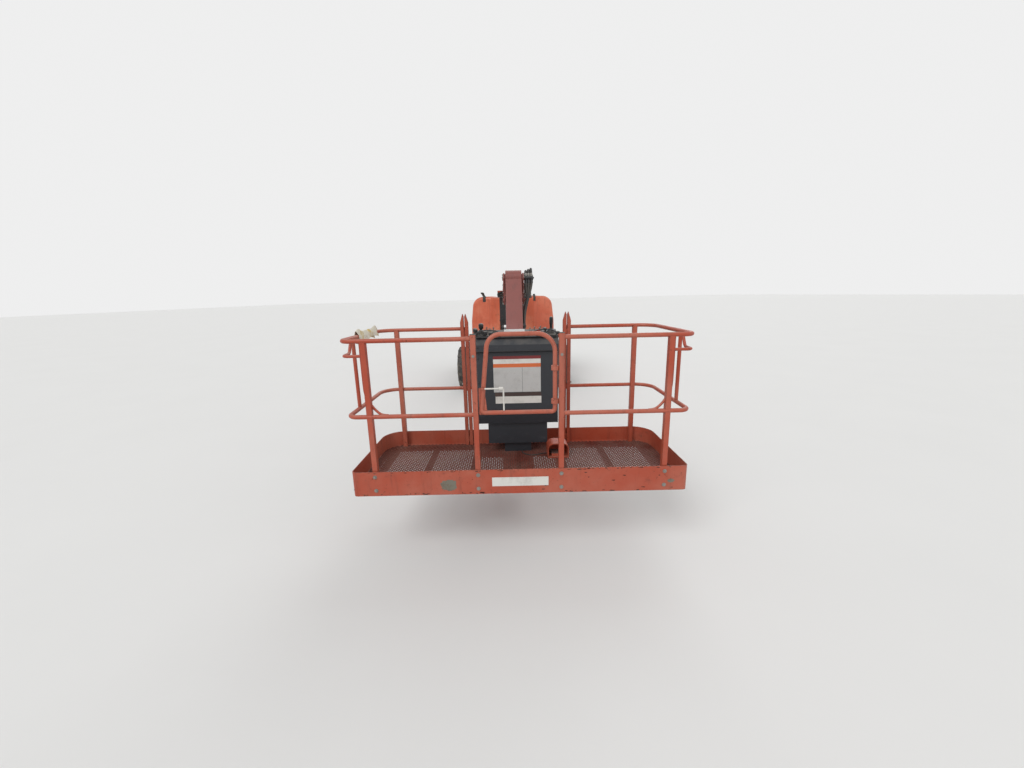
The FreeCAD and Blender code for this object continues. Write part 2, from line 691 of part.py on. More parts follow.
# A hood: a moulded shell, open below and towards the slot, its front creased and raked back.
def make_hoods():
    for side, sign in SIDES:
        body = new_body("hood_" + side)
        inner, outer = S.slot_half_width + 2, S.deck_half_width
        low = S.deck_top + 10
        front, rear = -S.deck_front, S.hood_rear
        section = ((inner, low), (inner, S.hood_top - 15), (inner + 250, S.hood_top + 10),
                   (S.hood_shoulder, S.hood_top - 5), (outer, S.hood_knee), (outer + 8, low))
        flip = tuple((u * sign, v) for u, v in section)
        pad(body, "XZ", front, rear, flip)
        wedge = ((S.hood_crease, front - 10), (outer + 60, front - 10), (outer + 60, front + S.hood_rake + 20),
                 (outer + 20, front + S.hood_rake), (S.hood_crease, front))
        pocket(body, "XY", low - 10, S.hood_top + 40, tuple((u * sign, v) for u, v in wedge))
        round_edges(body, S.hood_corner, lambda e: straight(e, "y") and near(abs(middle(e).x), S.hood_shoulder, 6)
                    and near(middle(e).z, S.hood_top - 5, 6))
        round_edges(body, 60, lambda e: middle(e).z > float(S.hood_top) - 120 and middle(e).y < float(front) + 60
                    and abs(middle(e).x) < float(S.hood_shoulder) - 100)
        wall = S.hood_wall
        hollow = ((inner - 5, low - 5), (inner - 5, S.hood_top - 15 - wall), (inner + 250, S.hood_top + 10 - wall),
                  (S.hood_shoulder - 110, S.hood_top - 5 - wall), (S.hood_shoulder - 40, S.hood_top - 80 - wall),
                  (S.hood_shoulder - 14, S.hood_top - 160 - wall), (outer - wall, S.hood_knee),
                  (outer + 8 - wall, low - 5))
        pocket(body, "XZ", front + S.hood_rake + wall + 20, rear - wall, tuple((u * sign, v) for u, v in hollow))
        near_x, far_x = sorted(((outer - 6) * sign, (outer + 20) * sign), key=float)
        for index in range(6):
            slot = low + 75 + index * 38
            pocket(body, "YZ", near_x, far_x, block(-560, -60, slot, slot + 16))
        for y in HINGE_PLACES:
            leaf = ((S.hinge_x * sign, S.hinge_z - 8), ((inner + 12) * sign, S.hinge_z - 12),
                    ((inner + 12) * sign, S.hinge_z), (S.hinge_x * sign, S.hinge_z + 8))
            pad(body, "XZ", y - 13, y + 13, leaf)
            pad(body, "XZ", y - 13, y + 13, (), [(S.hinge_x * sign, S.hinge_z, S.hinge_pin + 5)])
            pocket(body, "XZ", y - 14, y + 14, (), [(S.hinge_x * sign, S.hinge_z, S.hinge_pin + S.running_gap)])
        node(body, "hood_" + side)


def hood_line(reach):
    """Height of a hood's top at a distance from the machine's middle."""
    inner, peak = S.slot_half_width + 2, S.slot_half_width + 252
    if reach < float(peak):
        return S.hood_top - 15 + (reach - inner) * 0.1 + 0.3
    return S.hood_top + 10.3 - (reach - peak) * 15 / (S.hood_shoulder - peak)


# The black rubber catches on top of the hoods, one larger.
def make_catches():
    # side, sign, distance from the middle, height, lean outwards
    for side, sign, reach, tall, lean in (("left", -1, 604, 94, 60), ("right", 1, 475, 40, 0)):
        body = new_body("hood_catch_" + side)
        x = reach * sign
        low, high = hood_line(reach - 32), hood_line(reach + 32)
        low, high = (high, low) if sign < 0 else (low, high)
        tilt = lean * sign
        shape = ((x - 32, low), (x + 32, high), (x + 30 + tilt, high + tall), (x - 24 + tilt, high + tall))
        pad(body, "XZ", -S.deck_front + 170, -S.deck_front + 215, shape)
        node(body, "hood_catch_" + side)


# What the hoods cover: the engine as one block, and the fuel and hydraulic tanks.
def make_under_hood():
    floor = S.deck_bottom + S.deck_plate
    reach = S.deck_half_width - 105
    node(box((330, reach), (-760, 260), (floor, 1660)), "engine_block")
    node(box((-reach, -330), (-990, -360), (floor, 1560)), "fuel_tank")
    node(box((-reach, -330), (-320, 300), (floor, 1520)), "hydraulic_tank")
    for name, sign in (("ground_controls", -1), ("battery_box", 1)):
        body = new_body(name)
        xs = ((S.slot_half_width + 4) * sign, (S.deck_half_width - 6) * sign)
        pad(body, "XZ", S.hood_rear + 12, S.counterweight_front - 8, (
            (xs[0], S.deck_top), (xs[0], S.counterweight_top - 30), (xs[1] - 160 * sign, S.counterweight_top - 30),
            (xs[1], S.counterweight_top - 250), (xs[1], S.deck_top)))
        if sign < 0:
            pocket(body, "YZ", xs[1] - 5, xs[1] + 20, block(S.hood_rear + 40, S.counterweight_front - 36, 1100, 1340))
        node(body, name)


# A boom section: a rectangular tube along Y, closed only where a drawing shows it.
def boom_tube(body, width, height, wall, low, high, centre=0):
    half, tall = size(width) / 2, size(height) / 2
    pad(body, "XZ", low, high, block(-half, half, centre - tall, centre + tall))
    return block(-half + wall, half - wall, centre - tall + wall, centre + tall - wall)


# The tower boom's outer section, drawn level with its pivot at the origin and turned to its stowed slope.
def tower_slope():
    rise = float(S.upright_low_z - S.tower_pivot_z)
    run = float(S.upright_y - S.tower_pivot_y)
    return math.degrees(math.atan2(rise, run)), S.tower_length


def make_tower():
    slope, length = tower_slope()
    body = new_body("tower_base")
    hollow = boom_tube(body, S.tower_width, S.tower_height, S.boom_wall, -70, S.tower_base_length)
    pad(body, "YZ", -S.tower_width / 2 - 12, S.tower_width / 2 + 12, (), [(0, 0, 92)])
    half_w, half_h = S.tower_width / 2 + S.collar, S.tower_height / 2 + S.collar
    pad(body, "XZ", S.tower_base_length - 90, S.tower_base_length, block(-half_w, half_w, -half_h, half_h))
    pocket(body, "XZ", 130, S.tower_base_length - 89, hollow)
    fit = S.running_gap
    fly_w, fly_h = S.tower_fly_width / 2 + fit, S.tower_fly_height / 2 + fit
    pocket(body, "XZ", S.tower_base_length - 90, S.tower_base_length + 5, block(-fly_w, fly_w, -fly_h, fly_h))
    pocket(body, "YZ", -200, 200, (), [(0, 0, S.pivot_radius + fit)])
    along, below = TOWER_EYE
    deep = -S.tower_height / 2
    for sign in (-1, 1):
        low, high = sorted((sign * 32, sign * 50))
        lug = ((along - 110, deep + 3), (along - 34, -below - 26), (along + 34, -below - 26), (along + 110, deep + 3))
        pad(body, "YZ", low, high, lug)
    node(body, "tower_base", 0, S.tower_pivot_y, S.tower_pivot_z, slope)

    fly = new_body("tower_fly")
    hollow = boom_tube(fly, S.tower_fly_width, S.tower_fly_height, S.boom_wall, 330, length - 105)
    pocket(fly, "XZ", 325, length - 190, hollow)
    ear = S.upright_gap / 2 - S.running_gap - 1
    nose = ((length - 200, -S.tower_fly_height / 2), (length - 60, -80), (length + 20, -80), (length + 80, -30),
            (length + 80, 30), (length + 20, 80), (length - 60, 80), (length - 200, S.tower_fly_height / 2))
    pad(fly, "YZ", -S.tower_fly_width / 2, S.tower_fly_width / 2, nose)
    pad(fly, "YZ", -ear, ear, (), [(length, 0, 72)])
    pocket(fly, "YZ", -200, 200, (), [(length, 0, S.pivot_radius + fit)])
    node(fly, "tower_fly", 0, S.tower_pivot_y, S.tower_pivot_z, slope)


# The upright: two plates, kept vertical, that carry the main boom's pivot and its lift cylinder's foot.
def make_upright():
    body = new_body("upright")
    half = S.upright_gap / 2
    tall = S.upright_high_z - S.upright_low_z
    outline = ((-60, -85), (60, -85), (95, -40), (112, 200), (112, tall - 60), (80, tall + 70), (-60, tall + 70),
               (-90, tall), (-110, 300), (-110, 200), (-95, -40))
    foot_y, foot_z = MAIN_FOOT[0], tall + MAIN_FOOT[1]
    pad(body, "YZ", -half - S.upright_plate, -half, outline)
    web = ((-108, 150), (108, 120), (108, 240), (70, 262), (-108, 262))
    pad(body, "YZ", -half - 2, half + 2, web)
    pad(body, "YZ", half, half + S.upright_plate, outline)
    for height in (0, tall):
        pad(body, "YZ", -half - S.upright_plate - 12, half + S.upright_plate + 12, (), [(0, height, S.pivot_radius)])
    for sign in (-1, 1):
        low, high = sorted((sign * 38, sign * 60))
        lug = ((foot_y - 40, foot_z - 34), (foot_y - 40, foot_z + 34), (foot_y + 30, foot_z + 52), (-100, 255),
               (-100, 155))
        pad(body, "YZ", low, high, lug)
    pad(body, "YZ", -60, 60, (), [(foot_y, foot_z, 24)])
    node(body, "upright", 0, S.upright_y, S.upright_low_z)


# The main boom's outer section, its pivot at the origin, pointing to -Y.
def make_main_boom():
    body = new_body("main_boom_base")
    centre = -S.main_drop
    front = -S.main_base_length
    hollow = boom_tube(body, S.main_width, S.main_height, S.boom_wall, front, 60, centre)
    pad(body, "YZ", -S.main_width / 2, S.main_width / 2, (), [(0, 0, 88)])
    half_w, half_h = S.main_width / 2 + S.collar, S.main_height / 2 + S.collar
    pad(body, "XZ", front, front + 110, block(-half_w, half_w, centre - half_h, centre + half_h))
    pocket(body, "XZ", front + 109, -130, hollow)
    fit = S.running_gap
    fly_w, fly_h = S.main_fly_width / 2 + fit, S.main_fly_height / 2 + fit
    pocket(body, "XZ", front - 5, front + 110, block(-fly_w, fly_w, centre - fly_h, centre + fly_h))
    pocket(body, "YZ", -200, 200, (), [(0, 0, S.pivot_radius + fit)])
    low_face = centre - S.main_height / 2
    rear_cut = ((-420, low_face - 5), (70, low_face + 90), (70, low_face - 10))
    pocket(body, "YZ", -200, 200, rear_cut)
    along, below = MAIN_EYE
    for sign in (-1, 1):
        low, high = sorted((sign * 38, sign * 60))
        lug = ((-along - 130, low_face + 3), (-along - 40, -below - 36), (-along + 40, -below - 36),
               (-along + 130, low_face + 3))
        pad(body, "YZ", low, high, lug)
    node(body, "main_boom_base", 0, S.upright_y, S.upright_high_z)

    fly = new_body("main_boom_fly")
    rear = -350
    nose = S.nose_y - S.upright_y
    hollow = boom_tube(fly, S.main_fly_width, S.main_fly_height, S.boom_wall, nose + 60, rear, centre)
    pocket(fly, "XZ", nose + 230, rear + 5, hollow)
    pocket(fly, "YZ", -200, 200, ((nose + 40, centre - 200), (nose + 240, centre - S.main_fly_height / 2),
                                  (nose + 60, centre - S.nose_radius), (nose + 40, centre - S.nose_radius)))
    pocket(fly, "YZ", -200, 200, ((nose + 40, centre + 200), (nose + 240, centre + S.main_fly_height / 2),
                                  (nose + 60, centre + S.nose_radius), (nose + 40, centre + S.nose_radius)))
    wide = S.nose_plate_x - S.running_gap
    pad(fly, "YZ", -wide, wide, (), [(nose, centre, S.nose_radius)])
    pocket(fly, "YZ", -200, 200, (), [(nose, centre, S.jib_pin_radius + fit)])
    outer, over = -(track_inside() + S.track_width), centre - S.track_drop + S.track_link / 2
    pad(fly, "XZ", nose + 160, nose + 260, ((-S.main_fly_width / 2 + 2, over), (outer, over), (outer, over + 22),
                                           (-S.main_fly_width / 2 + 2, over + 22)))
    node(fly, "main_boom_fly", 0, S.upright_y, S.upright_high_z)


def track_inside():
    """Machine's middle to the power track, which clears the outer section's collar."""
    return S.main_width / 2 + S.collar + 3


# The power track beside the main boom: a chain of links that folds back under itself in a half round.
def track_chain(start, end, z, count_sizes):
    """Straight run of links as one solid: blocks on a thinner band."""
    low, high = sorted((float(start), float(end)))
    links = max(2, int(round((high - low) / count_sizes)))
    pitch = (high - low) / links
    x1 = -float(track_inside())
    x0 = x1 - float(S.track_width)
    tall = float(S.track_link)
    band = Part.makeBox(x1 - x0 - 12, high - low, tall - 14, FreeCAD.Vector(x0 + 6, low, z - tall / 2 + 7))
    blocks = [
        Part.makeBox(x1 - x0, pitch * 0.8, tall, FreeCAD.Vector(x0, low + pitch * (index + 0.1), z - tall / 2))
        for index in range(links)
    ]
    return band.multiFuse(blocks)


def make_power_track():
    top = float(S.upright_high_z - S.main_drop - S.track_drop)
    low = top - float(S.track_height) + float(S.track_link)
    radius = (top - low) / 2
    mid = (top + low) / 2
    rear = float(S.track_rear)
    mouth = float(S.upright_y - S.main_base_length)
    x1 = -float(track_inside())
    x0 = x1 - float(S.track_width)
    thick = float(S.track_link) / 2
    ring = Part.makeCylinder(radius + thick, x1 - x0, FreeCAD.Vector(x0, rear, mid), FreeCAD.Vector(1, 0, 0))
    hole = Part.makeCylinder(radius - thick, x1 - x0, FreeCAD.Vector(x0, rear, mid), FreeCAD.Vector(1, 0, 0))
    keep = Part.makeBox(x1 - x0, 600, 900, FreeCAD.Vector(x0, rear, mid - 450))
    bend = ring.cut(hole).common(keep)
    lower = track_chain(mouth + 60, rear, low, 150)
    trough = Part.makeBox(x1 - x0 + 8, rear - mouth - 100, 6, FreeCAD.Vector(x0, mouth + 80, low - thick - 6))
    tall = top - low - 2
    hangers = [
        Part.makeBox(float(S.collar) + 3, 60, tall, FreeCAD.Vector(x1, y, low - thick - 6))
        for y in (mouth + 130, (mouth + rear) / 2, rear - 100)
    ]
    node(feature(bend.multiFuse([lower, trough] + hangers)), "power_track_base")
    front = float(S.nose_y) + 200
    node(feature(track_chain(front, rear - 2, top, 150)), "power_track_run")


# A lift cylinder: the barrel with its foot's eye, and the rod with its own, each along -Y from the foot.
def make_cylinder(name, foot, eye, slope, radius, rod_radius, foot_eye, rod_eye, length):
    """foot_eye and rod_eye: radius, half-width and pin radius; the pins are the lugs' own."""
    y, z = foot
    barrel_end = length * 0.86
    barrel = fuse(
        rod("y", radius, -barrel_end, -foot_eye[0] - 34, (0, 0)),
        rod("y", min(radius, foot_eye[1] - 4), -foot_eye[0] - 40, -foot_eye[0] + 8, (0, 0)),
        rod("y", radius * 1.1, -barrel_end, -barrel_end + 60, (0, 0)),
        rod("x", foot_eye[0], -foot_eye[1], foot_eye[1], (0, 0)),
    )
    bores = [rod("x", foot_eye[2], -200, 200, (0, 0)), rod("y", rod_radius + S.running_gap, -barrel_end - 5, -140, (0, 0))]
    node(cut(barrel, *bores), name + "_barrel", 0, y, z, slope)
    stem = fuse(
        rod("y", rod_radius, -length + 5, -160, (0, 0)),
        rod("x", rod_eye[0], -rod_eye[1], rod_eye[1], (-length, 0)),
        rod("x", rod_eye[2], -rod_eye[1] - 5, rod_eye[1] + 5, (-length, 0)),
    )
    node(stem, name + "_rod", 0, y, z, slope)


def make_cylinders():
    slope, length = tower_slope()
    turn = math.radians(slope)
    pivot = (float(S.tower_pivot_y), float(S.tower_pivot_z))
    foot = (pivot[0] + TOWER_FOOT[0], pivot[1] + TOWER_FOOT[1])
    along, below = TOWER_EYE
    eye = (pivot[0] + along * math.cos(turn) + below * math.sin(turn),
           pivot[1] + along * math.sin(turn) - below * math.cos(turn))
    make_lift("tower_cylinder", foot, eye, 50, 28, (44, 36, 24.3), (30, 26, 18))

    pivot = (float(S.upright_y), float(S.upright_high_z))
    foot = (pivot[0] + MAIN_FOOT[0], pivot[1] + MAIN_FOOT[1])
    along, below = MAIN_EYE
    make_lift("main_cylinder", foot, (pivot[0] - along, pivot[1] - below), 38, 24, (40, 36, 24.3), (38, 32, 20))

    pivot = (float(S.jib_pin_y), float(S.jib_pin_z))
    foot = (pivot[0], pivot[1] - float(S.jib_offset))
    along, below = JIB_EYE
    turn = math.radians(float(S.jib_slope))
    eye = (pivot[0] - along * math.cos(turn) + below * math.sin(turn),
           pivot[1] - along * math.sin(turn) - below * math.cos(turn))
    make_lift("jib_cylinder", foot, eye, 28, 16, (38, 40, float(S.jib_pin_radius + S.running_gap)), (28, 22, 14))


def make_lift(name, foot, eye, radius, rod_radius, foot_eye, rod_eye):
    run, rise = foot[0] - eye[0], eye[1] - foot[1]
    length = math.hypot(run, rise)
    slope = -math.degrees(math.atan2(rise, run))
    make_cylinder(name, foot, eye, slope, radius, rod_radius, foot_eye, rod_eye, length)


# The nose bracket, kept level: two plates with the jib's and its link's pins, joined in front of the boom.
def make_nose():
    body = new_body("nose_bracket")
    pin = S.jib_pin_y - S.nose_y
    high = S.jib_pin_z - (S.upright_high_z - S.main_drop)
    low = high - S.jib_offset
    x0, x1 = S.nose_plate_x, S.nose_plate_x + S.nose_plate
    outline = ((70, 60), (70, -60), (-60, -110), (pin + 40, low - 48), (pin - 40, low - 48), (pin - 58, low),
               (pin - 50, 0), (pin - 70, high), (pin - 50, high + 58), (pin + 50, high + 58), (-20, 100), (30, 95))
    pad(body, "YZ", -x1, -x0, outline)
    for y, z, radius in ((0, 0, S.jib_pin_radius), (pin, high, S.jib_pin_radius), (pin, low, S.jib_pin_radius)):
        pad(body, "YZ", -x1 - 10, x1 + 10, (), [(y, z, radius)])
    pad(body, "YZ", x0, x1, outline)
    node(body, "nose_bracket", 0, S.nose_y, S.upright_high_z - S.main_drop)


# The jib: a square tube with a forked eye at each end and its lift cylinder's lugs below, turned to hang.
def make_jib():
    body = new_body("jib")
    length = S.jib_length
    half, deep = S.jib_width / 2, S.jib_depth / 2
    hollow = boom_tube(body, S.jib_width, S.jib_depth, 8, -length, 0)
    for y, radius in ((0, S.jib_head), (-length, deep)):
        pad(body, "YZ", -half, half, (), [(y, 0, radius)])
    pocket(body, "XZ", -length + 110, -130, hollow)
    for y in (0, -length):
        pocket(body, "YZ", -200, 200, (), [(y, 0, S.jib_pin_radius + S.running_gap)])
    boss = S.nose_plate_x - S.running_gap
    for y in (0, -length):
        for sign in (-1, 1):
            low, high = sorted(((half - 2) * sign, boss * sign), key=float)
            pad(body, "YZ", low, high, (), [(y, 0, 52), (y, 0, S.jib_pin_radius + S.running_gap)])
    along, below = JIB_EYE
    for sign in (-1, 1):
        low, high = sorted((sign * 28, sign * 41))
        lug = ((-along - 90, -deep + 3), (-along - 26, -below - 26), (-along + 26, -below - 26), (-along + 90, -deep + 3))
        pad(body, "YZ", low, high, lug)
    node(body, "jib", 0, S.jib_pin_y, S.jib_pin_z, S.jib_slope)

    bars = []
    eye = S.jib_pin_radius + 11
    for sign in (-1, 1):
        low, high = sorted((S.link_bar_x * sign, (S.link_bar_x + S.link_bar) * sign), key=float)
        bars.append(box((low, high), (-length, 0), (-S.link_depth / 2, S.link_depth / 2)))
        bars += [rod("x", eye, low, high, (y, 0)) for y in (0, -length)]
    inner, outer = -S.link_bar_x - 2, S.link_bar_x + 2
    bars += [rod("x", 12, inner, outer, (y, 0)) for y in (-length * 0.8, -length * 0.93)]
    bores = [rod("x", S.jib_pin_radius + S.running_gap, -200, 200, (y, 0)) for y in (0, -length)]
    node(cut(fuse(*bars), *bores), "jib_link", 0, S.jib_pin_y, S.jib_pin_z - S.jib_offset, S.jib_slope)


def jib_foot():
    """Where the jib's lower pin is when stowed."""
    turn = math.radians(float(S.jib_slope))
    return (float(S.jib_pin_y) - float(S.jib_length) * math.cos(turn),
            float(S.jib_pin_z) - float(S.jib_length) * math.sin(turn))


# The jib's lower bracket with the rotator's housing, and the turned mast that carries the platform.
def make_rotator():
    y, z = jib_foot()
    body = new_body("jib_support")
    front = S.rotator_y - y
    low_pin = -S.jib_offset
    x0, x1 = S.nose_plate_x, S.nose_plate_x + S.nose_plate
    bottom, top = S.rotator_low - z, S.rotator_high - z
    outline = ((front + 20, bottom + 15), (-72, bottom + 15), (-44, low_pin - 38), (40, low_pin - 38),
               (62, low_pin + 30), (40, -40), (58, 30), (30, 66), (-34, 66), (-76, top - 15), (front + 20, top - 15))
    pad(body, "YZ", x0, x1, outline)
    pad(body, "XY", bottom, top, (), [(0, front, S.rotator_radius)])
    for sign in (-1, 1):
        low, high = sorted((60 * sign, x1 * sign), key=float)
        pad(body, "YZ", low, high, ((front - 30, bottom + 20), (front + 60, bottom + 20), (front + 60, top - 20),
                                    (front - 30, top - 20)))
    pad(body, "YZ", -x1, -x0, outline)
    for height in (0, low_pin):
        pad(body, "YZ", -x1 - 8, x1 + 8, (), [(0, height, S.jib_pin_radius)])
    node(body, "jib_support", 0, y, z)

    mast = new_body("platform_mast")
    back = S.platform_far - S.rotator_y
    bottom, top = S.rotator_low - 30, S.rotator_high + 30
    pad(mast, "YZ", -150, 150, ((back, bottom), (back + 85, bottom), (back + 85, 900), (back + 30, 1020), (back, 1020)))
    for low, high in ((bottom, S.rotator_low - S.running_gap), (S.rotator_high + S.running_gap, top)):
        pad(mast, "XY", low, high, ((-100, back + 80), (100, back + 80), (70, 40), (-70, 40)))
        pad(mast, "XY", low, high, (), [(0, 0, S.rotator_radius - 8)])
    pad(mast, "YZ", -420, 420, block(back - 80, back + 60, 500, S.toe_bottom))
    for sign in (-1, 1):
        low, high = sorted((sign * 340, sign * 400))
        pad(mast, "YZ", low, high, block(S.platform_near + 120 - S.rotator_y, back - 79, 510, S.toe_bottom))
    node(mast, "platform_mast", 0, S.rotator_y, 0)


# The platform: a deck of expanded metal on cross bars, a folded toe board, rails and posts of tube.
def rounded_plan(inset, near_radius, far_radius):
    """The platform's plan as a face, with small corners on the entry side and large ones on the other."""
    half = float(S.platform_half_width - inset)
    near_y, far_y = float(S.platform_near + inset), float(S.platform_far - inset)
    small, large = max(1.0, float(near_radius)), max(1.0, float(far_radius))
    spots = ((0, near_y), (half, near_y), (half, far_y), (-half, far_y), (-half, near_y), (0, near_y))
    path = bent_path([(px, py, 0) for px, py in spots], [small, large, large, small])
    return path


def ring_shape(low, high, inset, thick):
    outer = Part.Face(rounded_plan(inset, S.toe_near_corner - inset, S.toe_corner - inset))
    inner = Part.Face(rounded_plan(inset + thick, S.toe_near_corner - inset - thick, S.toe_corner - inset - thick))
    rise = FreeCAD.Vector(0, 0, float(high) - float(low))
    lift = FreeCAD.Vector(0, 0, float(low))
    wall = outer.extrude(rise).cut(inner.extrude(rise))
    wall.translate(lift)
    return wall


def make_platform():
    zero = Size(0)
    wall = ring_shape(S.toe_bottom, S.toe_top, zero, S.toe_plate)
    flange = ring_shape(S.toe_bottom, S.toe_bottom + 6, zero, size(40))
    node(feature(wall.fuse([flange])), "toe_board")
    inset = S.toe_plate + S.running_gap
    plan = Part.Face(rounded_plan(inset, S.toe_near_corner - inset, S.toe_corner - inset))
    sheet_low = float(S.floor_z) - 6
    deck = plan.extrude(FreeCAD.Vector(0, 0, 6))
    deck.translate(FreeCAD.Vector(0, 0, sheet_low))
    half = float(S.platform_half_width) - 110
    bars = []
    for index in range(7):
        x = -half + index * (2 * half) / 6
        low = float(S.toe_bottom)
        depth = float(S.platform_far - S.platform_near) - (140 if index in (0, 6) else 110)
        bars.append(Part.makeBox(40, depth, sheet_low - low, FreeCAD.Vector(x - 20, float(S.platform_near) + 55, low)))
    node(feature(deck.multiFuse(bars)), "platform_deck")


def gate_line():
    """The entry side's rails, posts and gate stand just inside the toe board."""
    return S.platform_near + S.toe_plate + S.post_width / 2 + 0.5


def make_rails():
    half = float(S.platform_half_width) - float(S.rail_radius)
    near_y = float(gate_line())
    far_y = float(S.platform_far) - 22
    gate = float(S.gate_post_x)
    post = float(S.post_width) / 2
    pieces = []
    z = float(S.mid_rail_z)
    ring = ((gate, near_y, z), (half, near_y, z), (half, far_y, z), (-half, far_y, z), (-half, near_y, z),
            (-gate, near_y, z))
    pieces.append(tube_shape(ring, S.rail_radius, [70, 150, 150, 70]))
    z = float(S.rail_z)
    tall_x, cross_z = float(S.tall_post_x), float(S.rail_z) - 80
    for sign in (-1, 1):
        top_rail = ((sign * gate, near_y, z), (sign * half, near_y, z), (sign * half, far_y, z),
                    (sign * tall_x, far_y, z))
        pieces.append(tube_shape(top_rail, S.rail_radius, [70, 150]))
    pieces.append(Part.makeBox(2 * tall_x, 32, 32, FreeCAD.Vector(-tall_x, far_y - 16, cross_z - 16)))
    foot = float(S.floor_z)
    # x, y, top: posts of square tube
    posts = [(sign * float(S.gate_post_x), near_y, float(S.rail_z) + 28) for sign in (-1, 1)]
    posts += [(sign * float(S.post_x), near_y + 6, float(S.rail_z)) for sign in (-1, 1)]
    posts += [(sign * float(S.post_x), far_y - 12, float(S.rail_z)) for sign in (-1, 1)]
    for x, y, top in posts:
        pieces.append(Part.makeBox(2 * post, 2 * post, top - foot, FreeCAD.Vector(x - post, y - post, foot)))
    for sign in (-1, 1):
        x = sign * float(S.tall_post_x)
        wide, tip = float(S.tall_post_bar), float(S.tall_post_z)
        # out from the post's middle, height
        bar = ((4, foot), (4 + wide, foot), (4 + wide, tip - 75), (13, tip), (4, tip - 24), (4, foot))
        for half_sign in (-1, 1):
            plate = Part.makePolygon([FreeCAD.Vector(x + half_sign * u, far_y - 23, v) for u, v in bar])
            pieces.append(Part.Face(plate).extrude(FreeCAD.Vector(0, 38, 0)))
        for z in (foot + 60, float(S.mid_rail_z), float(S.rail_z) - 40):
            pieces.append(Part.makeBox(44, 26, 50, FreeCAD.Vector(x - 22, far_y - 18, z - 25)))
        corner_x = sign * half
        post_x = sign * float(S.post_x)
        loop = ((post_x, near_y + 6, float(S.rail_z) - 105), (corner_x - sign * 10, near_y + 6, float(S.rail_z) - 105),
                (corner_x, near_y + 150, float(S.rail_z) - 105), (corner_x, near_y + 210, float(S.rail_z)))
        pieces.append(tube_shape(loop, 11, [40, 40]))
    for z in (float(S.gate_low_z) + 60, float(S.gate_top_z) - 260):
        ring = Part.makeCylinder(27, 34, FreeCAD.Vector(float(S.gate_hinge_x), near_y, z))
        web = Part.makeBox(20, 14, 34, FreeCAD.Vector(float(S.gate_hinge_x) + 18, near_y - 7, z))
        bore = Part.makeCylinder(float(S.rail_radius + S.running_gap), 60,
                                 FreeCAD.Vector(float(S.gate_hinge_x), near_y, z - 10))
        pieces.append(ring.fuse(web).cut(bore))
    second = ((half, near_y + 240, float(S.rail_z)), (half, near_y + 240, float(S.mid_rail_z)))
    for sign in (-1, 1):
        side = [(sign * x, y, z) for x, y, z in second]
        pieces.append(tube_shape(side, 14, []))
    node(feature(pieces[0].multiFuse(pieces[1:])), "platform_rails")


def make_gate():
    y = gate_line()
    hinge = float(S.gate_hinge_x)
    low, top = float(S.gate_low_z), float(S.gate_top_z)
    # x, z round the gate's frame, from its bottom bar's middle
    frame = ((0, low), (hinge, low), (hinge, top), (-float(S.gate_lean_x), top), (-hinge - 4, low), (0, low))
    loop = tube_shape([(px, float(y), pz) for px, pz in frame], S.rail_radius, [26, 130, 100, 26])
    latch_z = float(S.latch_z)
    edge = -hinge - 20
    plate = Part.makePolygon([FreeCAD.Vector(px, float(y) - 3, pz) for px, pz in (
        (edge, low - 14), (-222, low - 14), (-240, latch_z), (edge, latch_z), (edge, low - 14))])
    gusset = Part.Face(plate).extrude(FreeCAD.Vector(0, 6, 0))
    hook = tube_shape(((-258, float(y) - 28, latch_z), (-104, float(y) - 28, latch_z),
                       (-104, float(y) - 28, latch_z - 20), (-104, float(y) - 6, low + 12)), 5, [8, 8])
    boss = Part.makeBox(16, 30, 18, FreeCAD.Vector(-262, float(y) - 32, latch_z - 9))
    node(feature(loop.multiFuse([gusset, boss, hook])), "gate")


# The console at the boom's side: a wide box with a raked control panel, on a narrower pedestal.
def make_console():
    body = new_body("console")
    half = S.console_half_width
    front = S.console_front
    back = S.platform_far - 60
    floor = S.floor_z
    side = ((front + 30, floor + S.console_belly), (front, floor + 420), (front, floor + 918), (front - 25, floor + 928),
            (front - 25, floor + 985), (front + 40, floor + 1050), (back, floor + 1085), (back, floor + S.console_belly))
    pad(body, "YZ", -half, half, side)
    round_edges(body, 30, lambda e: straight(e, "z") and near(middle(e).y, front, 4))
    under = floor + S.console_belly + 5
    pad(body, "YZ", -262, 262, ((front + 60, floor + 90), (front + 60, under), (back - 20, under), (back - 20, floor + 90)))
    pad(body, "YZ", -120, 120, block(back - 160, back - 40, floor, floor + 95))
    for sign in (-1, 1):
        low, high = sorted((sign * 300, sign * 340))
        pad(body, "YZ", low, high, block(back - 5, S.platform_far - 38, S.rail_z - 100, S.rail_z - 60))
    node(body, "console")

    controls = []
    # x, y back from the front edge, radius, height of each switch, knob and lamp on the panel
    for x, y, radius, tall in ((-300, 70, 26, 46), (-262, 120, 15, 30), (-222, 80, 14, 34), (-150, 90, 9, 26),
                               (-110, 90, 9, 26), (-60, 110, 16, 14), (0, 110, 16, 14), (60, 110, 16, 14),
                               (110, 90, 9, 26), (150, 90, 9, 26), (205, 80, 12, 30)):
        controls.append(rod("z", radius, panel_line(y) + 4.8, panel_line(y) + tall, (x, front + y)))
    node(fuse(*[panel_plate("switch_plate", -332, 235, 40, 160, 6)] + controls), "control_switches")

    stick_x, stick_y = 290, front + 95
    deck = panel_line(95)
    stick = fuse(panel_plate("joystick_boot", 256, 324, 61, 129, 16), rod("z", 10, deck + 10, deck + 60, (stick_x, stick_y)),
                 rod("z", 22, deck + 55, deck + 108, (stick_x, stick_y)))
    node(stick, "joystick")


def panel_line(back):
    """Height of the control panel's top at a distance from the console's face."""
    rise = (back - 40) * 35.0 / (float(S.platform_far - S.console_front) - 100)
    return S.floor_z + 1050 + rise


